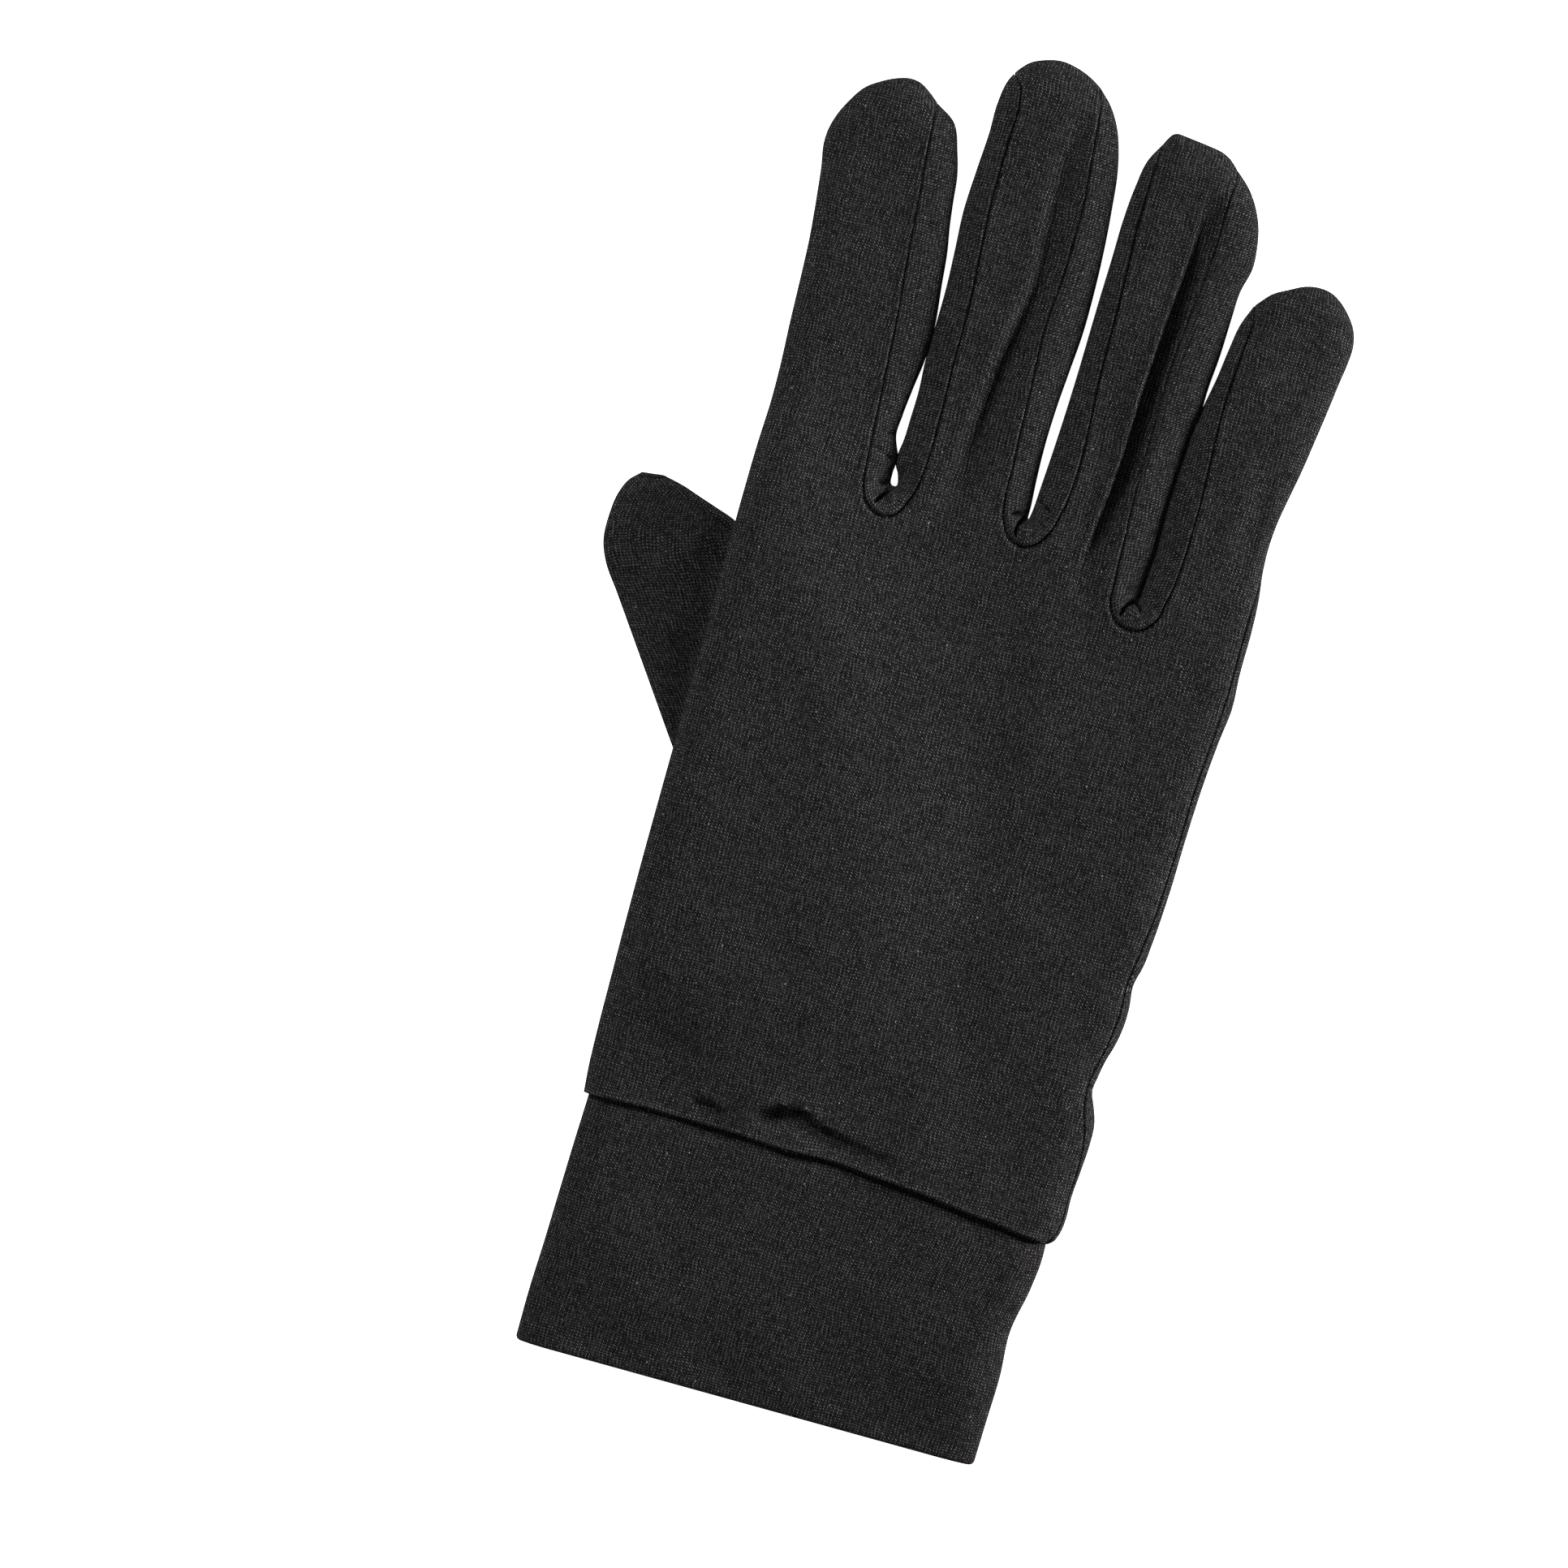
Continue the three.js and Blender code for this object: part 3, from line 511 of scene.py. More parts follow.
# %% Unrolling the rounded edge
HALF_THICK = 3.7  # of the tube at the knuckles
from_edge = np.linspace(0, EDGE_ROUND, 400)
rise = HALF_THICK * dome(from_edge, EDGE_ROUND)
arc = running(np.hypot(np.diff(from_edge), np.diff(rise)))
HIDDEN = (arc[-1] - arc) - (EDGE_ROUND - from_edge)


def unroll(plan, foot, away, over_edge):
    """Plan place moved outwards by the cloth that the rounding hides: the arc's length
    from there to the flat, less the plan's. Points that have gone round to the other
    side are laid out beyond the edge."""
    out = foot - plan
    size = np.linalg.norm(out, axis=1, keepdims=True)
    out = np.where(size > 1e-6, out / np.maximum(size, 1e-6), 0)
    hidden = np.interp(away, from_edge, HIDDEN)[:, None]
    near = plan + out * hidden
    far = foot + out * (2 * HIDDEN[0] - hidden + away[:, None])
    return np.where(over_edge[:, None], far, near)


print("cloth hidden by the rounding:", HIDDEN[0].round(2), "mm at the edge")

# %% [markdown]
# ## Patches, and a wall of cloth
#
# Each panel is a few patches: grids of rows and columns in plan. Points that two patches
# share are merged by their place. The wall is then made in one go: the outer face is the
# form pushed out by its small detail, the inner face is the form pushed in by the knit's
# thickness, and a rim joins them along every open edge. The Solidify modifier could do it
# too, but it would copy each seam and pucker to the inside, where they would cut through.


# %% Grids into one triangle mesh
def grid_triangles(rows, cols, start=0):
    """Two triangles for each cell of a grid, anticlockwise when rows run up the page."""
    i = np.arange(rows * cols).reshape(rows, cols) + start
    a, b, c, d = i[:-1, :-1], i[:-1, 1:], i[1:, 1:], i[1:, :-1]
    return np.concatenate([
        np.stack([a, b, c], -1).reshape(-1, 3), np.stack([a, c, d], -1).reshape(-1, 3)
    ])


def join_points(points, triangles):
    """Points whose first three columns agree to a thousandth of a millimetre become one,
    and triangles that this flattens are dropped."""
    _, first, where = np.unique(
        np.round(points[:, :3], 3), axis=0, return_index=True, return_inverse=True
    )
    triangles = where.reshape(-1)[triangles]
    a, b, c = triangles.T
    keep = (a != b) & (b != c) & (c != a)
    return points[first], triangles[keep]


def stack_patches(patches):
    """Grids of shape (rows, columns, values) as one list of points and of triangles."""
    points, triangles, start = [], [], 0
    for patch in patches:
        rows, cols = patch.shape[:2]
        points.append(patch.reshape(rows * cols, -1))
        triangles.append(grid_triangles(rows, cols, start))
        start += rows * cols
    return np.concatenate(points), np.concatenate(triangles)


def vertex_normals(points, triangles):
    """Sum of the normals of the triangles round each point, made one long."""
    a, b, c = (points[triangles[:, k]] for k in range(3))
    face = np.cross(b - a, c - a)
    total = np.stack([
        np.bincount(triangles.ravel(), np.repeat(face[:, k], 3), len(points)) for k in range(3)
    ], -1)
    return total / np.maximum(np.linalg.norm(total, axis=1, keepdims=True), 1e-12)


def open_edges(triangles):
    """Edges that only one triangle has, in that triangle's direction."""
    pairs = np.concatenate([triangles[:, [0, 1]], triangles[:, [1, 2]], triangles[:, [2, 0]]])
    keys = np.sort(pairs, axis=1)
    _, where, count = np.unique(keys, axis=0, return_inverse=True, return_counts=True)
    return pairs[count[where.reshape(-1)] == 1]


print("a grid of 3 rows and 4 columns:", len(grid_triangles(3, 4)), "triangles and",
      len(open_edges(grid_triangles(3, 4))), "open edges")

# %% A closed wall of cloth
FLOOR, INNER_FLOOR = 0.02, 0.06
CREASE_INSIDE = 0.9


def cloth_wall(form, triangles, detail, wall):
    """Outer face = form + detail x normal, inner face = form - wall x normal, lower still
    where the detail is a crease, and a rim along the open edges. Neither face goes below
    its floor. Returns the points, the triangles and the form's own rows."""
    normal = vertex_normals(form, triangles)
    outer = form + normal * detail[:, None]
    inner = form + normal * (np.minimum(detail, 0) * CREASE_INSIDE - wall)[:, None]
    outer[:, 2] = np.maximum(outer[:, 2], FLOOR)
    inner[:, 2] = np.maximum(inner[:, 2], INNER_FLOOR)
    n = len(form)
    rim = open_edges(triangles)
    a, b = rim[:, 0], rim[:, 1]
    faces = np.concatenate([
        triangles, triangles[:, ::-1] + n,
        np.stack([b, a, a + n], -1), np.stack([b, a + n, b + n], -1),
    ])
    return np.concatenate([outer, inner]), faces, np.tile(np.arange(n), 2)


# %% From a wall to a Blender object
UV_TO_MM = 10.0
FAR_FROM_SEAM, FARTHEST = 9.0, 1000.0
SHARP_FROM = math.radians(62)


def put_mesh(name, points, triangles, cloth, seam=None):
    """A Blender object from draft points, triangles, a place on the cloth for each point
    and its place by the seams: the distance, and how far along the seam that is. Its
    volume is a sixth of the sum of all triangles' products a . (b x c)."""
    if seam is None:
        seam = np.broadcast_to([FAR_FROM_SEAM, 0.0], (len(points), 2))
    mesh = bpy.data.meshes.new(name)
    mesh.vertices.add(len(points))
    mesh.vertices.foreach_set("co", to_frame(points).astype(np.float32).ravel())
    mesh.loops.add(triangles.size)
    mesh.loops.foreach_set("vertex_index", triangles.astype(np.int32).ravel())
    mesh.polygons.add(len(triangles))
    starts = np.arange(0, triangles.size, 3, dtype=np.int32)
    mesh.polygons.foreach_set("loop_start", starts)
    # the seam map tells the shader where to paint the seams' shade and highlight
    maps = {"cloth": cloth, "seam": seam}
    for layer in maps:
        mesh.uv_layers.new(name=layer)
    mesh.update(calc_edges=True)
    mesh.validate()
    corner = np.empty(len(mesh.loops), np.int32)
    mesh.loops.foreach_get("vertex_index", corner)
    for layer, place in maps.items():
        uv = (np.minimum(place, FARTHEST)[corner] / UV_TO_MM).astype(np.float32)
        mesh.uv_layers[layer].data.foreach_set("uv", uv.ravel())
    mesh.shade_smooth()
    mesh.set_sharp_from_angle(angle=SHARP_FROM)
    piece = bpy.data.objects.new(name, mesh)
    scene.collection.objects.link(piece)
    a, b, c = (points[triangles[:, k]] for k in range(3))
    volume = (a * np.cross(b, c)).sum() / 6
    print(f"{name}: {len(mesh.polygons)} triangles round {volume / 1000:.1f} cubic centimetres")
    return piece


# %% [markdown]
# ## Rows and columns
#
# Cloth bends sharply beside a seam and at an edge, and hardly at all elsewhere. So the
# columns stand close together at both ends of a row, and wider in between.


# %% Shares across a row and up a finger
def shares(width, step, fine, reach):
    """Numbers from nought to one for a row of that width: spacing grows from fine at both
    ends to step, over the distance reach."""
    x, out = 0.0, [0.0]
    while x < width / 2:
        x += fine + (step - fine) * min(1.0, x / reach)
        out.append(x)
    half = np.array(out) / out[-1] * 0.5
    return np.concatenate([half, 1 - half[-2::-1]])


def cut_at(line, height):
    """Across values of a line that climbs steadily, read off in between at heights along."""
    order = np.argsort(line[:, 1], kind="stable")
    return np.interp(height, line[order, 1], line[order, 0])


def between(left, right, column_shares):
    """Rows of plan points between two lines with equally many points: left times what is
    left of the share, plus right times the share."""
    s = column_shares[None, :, None]
    return left[:, None, :] * (1 - s) + right[:, None, :] * s


print("a row 22 mm wide:", len(shares(22.0, step=0.6, fine=0.15, reach=3.0)), "columns")

# %% [markdown]
# ## The back of the hand
#
# The back is one panel with four finger parts. Between the seams each finger part spans
# from the foot of one crotch seam to the next, so its rows fan from a slanting base to a
# level tip. The side seam lies on the back, a millimetre or two in from the edge, because
# the palm's cloth comes round the little-finger side.

# %% Lines that bound each finger's part of the panel
SIDE_SEAM = spline(
    [(45.1, 42.6), (46.3, 45), (46.8, 51), (47.0, 57), (46.6, 63), (45.2, 68), (44.7, 71.6),
     (45.1, 75.5), (46.1, 80), (46.8, 86), (46.7, 92), (47.4, 98), (48.2, 104), (48.8, 115),
     (49.2, 130), (49.9, 140), (50.3, 148), (50.3, 158), (50.4, 164), (50.75, 169.5)],
    SIDE_STEP,
)
SEAM_END = 169.5
INDEX_FOOT = 162.2
foot_at = np.abs(index_side[:, 1] - INDEX_FOOT).argmin()
FINGERS = ["index", "middle", "ring", "little"]


def climb(line):
    """The part of a line up to its highest point."""
    return line[:line[:, 1].argmax() + 1]


def from_foot(name, turned):
    """A strip's seam from the foot of its crotch up one of its two fingers."""
    line = strips[name][:, 0:2]
    foot = line[:, 1].argmin()
    return line[foot::-1] if turned else line[foot:]


def finger_sides(little_right):
    """Left and right line of each finger's part, each from its foot to the tip's peak."""
    tips = [index_side, middle_tip, ring_tip, little_side]
    lefts, rights = [climb(index_side[foot_at:])], []
    for name, before, after in zip(STRIPS, tips, tips[1:]):
        rights.append(np.concatenate([from_foot(name, True), climb(before[::-1])[1:]]))
        lefts.append(np.concatenate([from_foot(name, False), climb(after)[1:]]))
    return dict(zip(FINGERS, zip(lefts, [*rights, little_right])))


LITTLE_FOOT = strips["ring_little"][:, 1].min()
little_edge = climb(little_side[::-1])
over_seam = SIDE_SEAM[SIDE_SEAM[:, 1] >= LITTLE_FOOT]
above_seam = little_edge[little_edge[:, 1] > SEAM_END + 0.3]  # clear of the seam's own end
back_sides = finger_sides(np.concatenate([over_seam, above_seam]))
palm_sides = finger_sides(little_edge[little_edge[:, 1] >= LITTLE_FOOT])
print({k: [len(side) for side in v] for k, v in back_sides.items()})

# %% A finger's patch in plan
# step between rows or columns, fine step at both ends, reach of the fine steps
FINGER_ROWS = (0.95, 0.05, 4.5)
FINGER_COLUMNS = (0.62, 0.13, 3.0)
CHORD = 7.0
SAG = {"index": 1.5, "middle": 1.5, "ring": 4.0, "little": 1.5}
SAG_REACH = 14


def finger_patch(left, right, sag):
    """Rows of plan points from the foot to the tip. A row's ends lie at the same share of
    both sides' climb, and its middle sags at the foot, so that it keeps below the round
    feet of the seams. Close above a foot the side runs off quickly, and only the columns
    next to it follow: the rest keep to the chord up to CHORD millimetres higher."""
    top = max(left[-1, 1], right[-1, 1])
    rows = shares(top - left[0, 1], *FINGER_ROWS)
    column = shares(right[0, 0] - left[0, 0], *FINGER_COLUMNS)
    plan = 0
    for line, weight in ((left, 1 - column), (right, column)):
        up = (top - line[0, 1]) * rows
        across = cut_at(line, line[0, 1] + up)
        chord = line[0, 0] + (cut_at(line, line[0, 1] + CHORD) - line[0, 0]) * up / CHORD
        chord = np.where(up < CHORD, chord, across)
        x = chord[:, None] * weight + (across - chord)[:, None] * weight**6
        plan = plan + np.stack([x, (line[0, 1] + up)[:, None] * weight], -1)
    plan[-1, :, 0] = left[-1, 0]
    low = 1 - smoothstep((top - left[0, 1]) * rows, 0, SAG_REACH)
    plan[..., 1] -= sag * low[:, None] * 4 * column * (1 - column)
    return plan


# %% The hand's patch, and all patches of a panel
HEM = np.array([(-43.3, 46.8), (-29, 47.0), (-14, 46.8), (-5, 46.4), (1, 46.7), (12.7, 45.9),
                (19.6, 45.4), (28, 44.4), (35.7, 43.6), (39.5, 43.1), (45.6, 42.6)])
HEM_STEP = 0.5
hem_line = spline(HEM, HEM_STEP)
HAND_ROWS = (115.0, 1.15, 0.12, 8.0)  # the hand's length, then as for a finger


def hand_patch(knuckles, left, right):
    """Rows from the hem to the knuckle row. Columns keep their share of the width; the
    hem's droop fades upwards with the square of what is left of the climb, and the
    knuckles' zigzag fades downwards with the climb's cube."""
    rows = shares(*HAND_ROWS)[:, None]
    share = (knuckles[:, 0] - knuckles[0, 0]) / (knuckles[-1, 0] - knuckles[0, 0])
    ends = [
        np.concatenate([cut_at(side, side[0, 1] + (top[1] - side[0, 1]) * rows),
                        side[0, 1] + (top[1] - side[0, 1]) * rows], -1)
        for side, top in ((left, knuckles[0]), (right, knuckles[-1]))
    ]
    ends[0][-1], ends[1][-1] = knuckles[0], knuckles[-1]
    plan = between(*ends, share)
    at_hem = ends[0][0, 0] + (ends[1][0, 0] - ends[0][0, 0]) * share
    droop = np.interp(at_hem, hem_line[:, 0], hem_line[:, 1])
    plan[..., 1] += (droop - plan[0, :, 1]) * (1 - rows) ** 2
    plan[..., 1] += (knuckles[:, 1] - plan[-1, :, 1]) * rows**3
    return plan


def panel_patches(sides, right_edge):
    """The hand's patch and the four fingers' patches of one panel."""
    fingers = [finger_patch(*sides[name], SAG[name]) for name in FINGERS]
    knuckles = np.concatenate([fingers[0][0]] + [patch[0, 1:] for patch in fingers[1:]])
    return [hand_patch(knuckles, index_side[:foot_at + 1], right_edge), *fingers]


back_plan = panel_patches(back_sides, SIDE_SEAM)
print("back:", [patch.shape[:2] for patch in back_plan])

# %% [markdown]
# ## Making a panel
#
# One function turns a panel's patches into a finished piece, so the back and the palm obey
# the same rules. It asks how far in each point lies, sets its height, its place on the
# cloth and its relief, merges the patches and builds the wall.

# %% From patches to a piece
BACK, PALM = 1.0, -1.0


def with_side(plan, side):
    """A grid of plan points with the side of the hand that each lies on."""
    side = np.broadcast_to(side, plan.shape[:2])
    return np.concatenate([plan, side[..., None]], -1)


def make_panel(name, patches, relief, face_down=False, hole=None):
    """Heights and cloth places for a panel's points, then the closed wall. The height is
    the tube's, and the rule called relief gives the grooves and the place by the seams."""
    points, triangles = stack_patches(patches)
    if face_down:
        triangles = triangles[:, ::-1]
    plan, side = points[:, :2], points[:, 2]
    away, foot = inset(plan)
    groove_depth, seam = relief(plan, side, away)
    z = tube(plan, side, away, groove_depth)
    cloth = unroll(plan, foot, away, (side > 0) & face_down)
    form = np.column_stack([plan, z, cloth, seam])
    form, triangles = join_points(form, triangles)
    if hole is not None:
        form, triangles = hole(form, triangles)
    shell, faces, row = cloth_wall(form[:, :3], triangles, np.zeros(len(form)), KNIT)
    return put_mesh(name, shell, faces, form[row, 3:5], form[row, 5:7])


seam_lines = [strips[name][:, 0:2] for name in STRIPS]
feet = [line[line[:, 1].argmin()] for line in strips.values()]
CROTCHES = np.array([(foot[0:2] + foot[2:4]) / 2 for foot in feet])
GATHERED_REACH = 5.5


def gathered(plan):
    """One, rising to two round each crotch, where the seam is gathered and sinks, and where its
    painted shade is wider.
    """
    reach = np.linalg.norm(plan[:, None, :] - CROTCHES, axis=2).min(1)
    return 1 + bell(reach, GATHERED_REACH)


def to_seams(plan, lines):
    """Distance to the nearest of several lines, and the place along that line."""
    found = [nearest(plan, line) for line in lines]
    away = np.array([one[0] for one in found])
    along = np.array([one[3] for one in found])
    best = away.argmin(0), np.arange(len(plan))
    return away[best], along[best]


def back_relief(plan, side, away):
    """Grooves along the finger seams and the side seam, wider and deeper where they are
    gathered, and one along the hem with a high ridge above it."""
    seam, along = to_seams(plan, [*seam_lines, SIDE_SEAM])
    hem, _, _, at_hem = nearest(plan, hem_line)
    sink = gathered(plan)
    relief = groove(seam / sink, away, depth=0.3 * sink)
    relief += groove(hem, away, depth=0.3, ridge=0.35)
    # the seam map for the painted shade and highlight: distance to the nearest seam, wider where
    # gathered, or to the hem
    along = np.where(hem < seam, at_hem, along)
    return relief, np.column_stack([np.minimum(seam / sink, hem), along])


knit_back = make_panel("knit_back", [with_side(p, BACK) for p in back_plan], back_relief)

# %% [markdown]
# ## The palm
#
# The palm has the same plan as the back, seen from below, so its triangles are turned
# over. It goes on round the little-finger edge as far as the side seam, and it has an oval
# hole where the thumb is sewn in. The hole is cut by dropping the cells inside it and
# moving the points along its edge onto the oval.

# %% The oval hole, and the cloth round the edge
OVAL = {"centre": np.array([-24.0, 98.0]), "half": np.array([15.0, 37.0])}
NEAR_OVAL = 1.2  # in shares of the oval: the hole's rim lies nearer, the panel's edge doesn't
WRAP_COLUMNS = np.linspace(0, 1, 9) ** 1.5  # from the edge to the seam, close at the edge


def oval_hole(form, triangles):
    """Drops the triangles whose middle lies inside the oval, where the offsets from its
    centre, over its half axes, are less than one long. The rim's points are drawn
    onto it, and the panel's own outer edge, which lies further off, stays."""
    rel = (form[:, :2] - OVAL["centre"]) / OVAL["half"]
    size = np.linalg.norm(rel, axis=1)
    kept = triangles[size[triangles].mean(1) > 1]
    rim = np.unique(open_edges(kept))
    rim = rim[size[rim] < NEAR_OVAL]
    form[rim, :2] = OVAL["centre"] + rel[rim] / size[rim, None] * OVAL["half"]
    used = np.unique(kept)
    place = np.zeros(len(form), int)
    place[used] = np.arange(len(used))
    return form[used], place[kept]


def wrap_patch(hand, little):
    """From the little-finger edge over to the side seam on the back, row by row with the
    palm's own rows, so that the points on the edge are shared."""
    edge = np.concatenate([hand[:, -1], little[1:, -1]])
    edge = edge[edge[:, 1] < SEAM_END]
    seam = np.stack([cut_at(SIDE_SEAM, edge[:, 1]), edge[:, 1]], -1)
    end = np.array([[cut_at(little_edge, SEAM_END), SEAM_END]])
    edge, seam = np.concatenate([edge, end]), np.concatenate([seam, end])
    return between(edge, seam, WRAP_COLUMNS)


# %% The palm
OVAL_SIZE = 20.0  # millimetres to a share of the oval, between its two half axes


def palm_relief(plan, side, away):
    """Grooves along the finger seams, the oval and the hem, and along the side seam where
    the cloth has come round to the back."""
    seam, along = to_seams(plan, seam_lines)
    hem = nearest(plan, hem_line)[0]
    rel = (plan - OVAL["centre"]) / OVAL["half"]
    oval = np.abs(np.linalg.norm(rel, axis=1) - 1) * np.where(side < 0, OVAL_SIZE, FARTHEST)
    round_oval = np.arctan2(rel[:, 1], rel[:, 0]) * OVAL["half"].mean()
    side_seam, up_side = to_seams(plan, [SIDE_SEAM])
    side_seam = np.where(side > 0, side_seam, FAR_FROM_SEAM)
    relief = groove(seam, away) + groove(oval, away, depth=0.5, ridge=0.15)
    relief += groove(side_seam, away + 2, depth=0.45, ridge=0.0)
    relief += groove(hem, away, depth=0.4, ridge=0.1)
    # the seam map for the painted shade and highlight along the seams, the oval and the side
    # seam
    closest = np.array([seam, oval, side_seam])
    places = np.array([along, round_oval, up_side])
    best = closest.argmin(0), np.arange(len(plan))
    return relief, np.column_stack([closest[best], places[best]])


palm_plan = panel_patches(palm_sides, little_edge)
palm_patches = [with_side(p, PALM) for p in palm_plan]
palm_patches.append(with_side(wrap_patch(palm_plan[0], palm_plan[4]), BACK))
knit_palm = make_panel("knit_palm", palm_patches, palm_relief, face_down=True, hole=oval_hole)

# %% [markdown]
# ## The strips themselves
#
# Each strip is a profile carried along its marked line: from the seam on the back, over
# the finger's edge, to the seam on the palm. At the crotch the profiles fan out round one
# point, and the cloth is pinched there, so a few pleats run out from that point. The
# knit's columns follow the strip, which is why its grain bends round the crotch.

# %% Strip profiles
# shares of the way from the seam to the finger's edge, closer together towards both
PROFILE = np.concatenate([
    np.array([0, 0.02, 0.045, 0.075, 0.11, 0.15]), np.linspace(0.195, 0.69, 12),
    1 - 0.27 * np.linspace(0.86, 0, 9) ** 1.8,
])
UNDER = PROFILE[::2]


def strip_grid(line):
    """Plan places of a strip: a share w of the way from seam to edge, then back again."""
    w = np.concatenate([PROFILE, UNDER[-2::-1]])
    side = np.concatenate([np.full(len(PROFILE), BACK), np.full(len(UNDER) - 1, PALM)])
    return with_side(between(line[:, 0:2], line[:, 2:4], w), side), w


print("a strip has", len(PROFILE), "columns on the back and", len(UNDER) - 1, "beneath")

# %% Creases in the crotches
# marks from the crotch point (across, along, depth), then the widths left and right
PINCHES = {
    "index_middle": [
        ([(-2.6, -4.2, 0.0), (-2.1, -3.5, 1.1), (-1.4, -2.5, 1.4), (-0.7, -1.4, 1.0),
          (0.2, -0.3, 0.6)], 0.5, 0.4),
        ([(-3.6, -0.3, 0.0), (-2.6, -0.2, 0.5), (-1.6, 0.0, 0.7), (-0.6, 0.3, 0.5)], 0.6, 0.6),
        ([(-4.6, 8.6, 0.0), (-3.4, 8.9, 0.5), (-2.2, 9.1, 0.6), (-1.4, 9.0, 0.2)], 0.4, 0.4),
        ([(-4.6, 5.0, 0.0), (-3.2, 5.0, 0.4), (-1.6, 4.6, 0.6), (-0.9, 4.4, 0.2)], 0.4, 0.5),
    ],
    "middle_ring": [
        ([(-1.3, -4.5, 0.0), (-1.5, -3.6, 0.9), (-1.5, -2.5, 1.4), (-1.1, -1.0, 1.3),
          (-0.3, 0.1, 0.8)], 0.42, 0.36),
        ([(-3.9, -0.8, 0.0), (-2.9, 0.0, 0.9), (-1.9, 0.4, 1.0), (-1.0, 0.8, 0.3)], 0.36, 0.45),
        ([(3.5, 1.5, 0.0), (3.0, 2.0, 0.6), (2.2, 2.7, 0.8), (0.9, 3.2, 0.3)], 0.36, 0.36),
    ],
    "ring_little": [
        ([(-2.8, -4.9, 0.0), (-2.6, -4.0, 1.0), (-2.2, -2.7, 1.4), (-1.6, -1.5, 1.4),
          (-0.9, -1.0, 1.1), (-0.2, -1.0, 0.7)], 0.45, 0.4),
        ([(-3.6, 0.6, 0.0), (-2.7, 0.9, 0.6), (-1.8, 1.0, 0.6), (-0.9, 1.1, 0.0)], 0.5, 0.6),
        ([(-0.2, 0.1, 0.3), (0.0, -0.9, 0.9), (0.4, -2.0, 1.0), (0.6, -3.3, 0.0)], 0.36, 0.36),
    ],
}
TONGUE = {"index_middle": (0.3, -2.6), "middle_ring": (-0.1, -2.2), "ring_little": (-0.9, -2.8)}
TONGUE_HEIGHT, TONGUE_RADIUS = 0.8, 1.2
RAYS, RAYS_TURN, RAY_HEIGHT = 9, 0.6, 0.10
RAYS_REACH, RAYS_WIDTH, RAYS_BELOW = 3.0, 1.6, 1.5
PINCH_STEP = 0.2
# for the creases' painted shade: extra distance where a crease is shallow, and its width
SHALLOW_COSTS, PINCH_WIDTH = 0.6, 0.12


def crotch_relief(name, plan, crotch):
    """Creases that run out from the crotch point, a bell-shaped tongue of cloth between
    them, and weak pleats like rays round the point: a cosine of the direction."""
    rel = plan - crotch
    z = sum(valley(rel, *pinch) for pinch in PINCHES[name])
    z += TONGUE_HEIGHT * bell(np.linalg.norm(rel - TONGUE[name], axis=1), TONGUE_RADIUS)
    reach = np.linalg.norm(rel, axis=1)
    rays = np.cos(np.arctan2(rel[:, 1], rel[:, 0]) * RAYS + RAYS_TURN)
    ring = bell(reach - RAYS_REACH, RAYS_WIDTH)
    return z + RAY_HEIGHT * rays * ring * (rel[:, 1] < RAYS_BELOW)


def pinch_shade_distance(name, plan, crotch):
    """Distance to the nearest crease, less its width, for the painted shade in the creases. It
    counts as further off by up to SHALLOW_COSTS where the crease is shallow, so that only the
    deep part gets painted shade."""
    found = []
    for marks, *_ in PINCHES[name]:
        line = spline(marks, PINCH_STEP)
        away, foot, *_ = nearest(plan - crotch, line[:, :2])
        order = np.argsort(line[:, 0])
        depth = np.interp(foot[:, 0], line[order, 0], line[order, 2])
        found.append(away + SHALLOW_COSTS * (1 - np.clip(depth, 0, 1)) - PINCH_WIDTH)
    return np.maximum(np.min(found, axis=0), 0)


print("creases:", {name: len(pinches) for name, pinches in PINCHES.items()})

# %% Making a strip
ALL_ROWS_WITHIN = 12  # of the crotch; further off every second row is enough
STRIP_WALL = 0.8
LOOSE_HEIGHT, LOOSE_LENGTH = 0.07, 5.5
LOOSE_FADE, PINCH_FADE = (0.2, 1.5), (0.0, 0.7)  # in from the silhouette
SEAM_FADE = (0.0, 1.0)  # in from the seam
TO_MIDDLE = 0.3  # share of the way from seam to edge at which the strip is measured


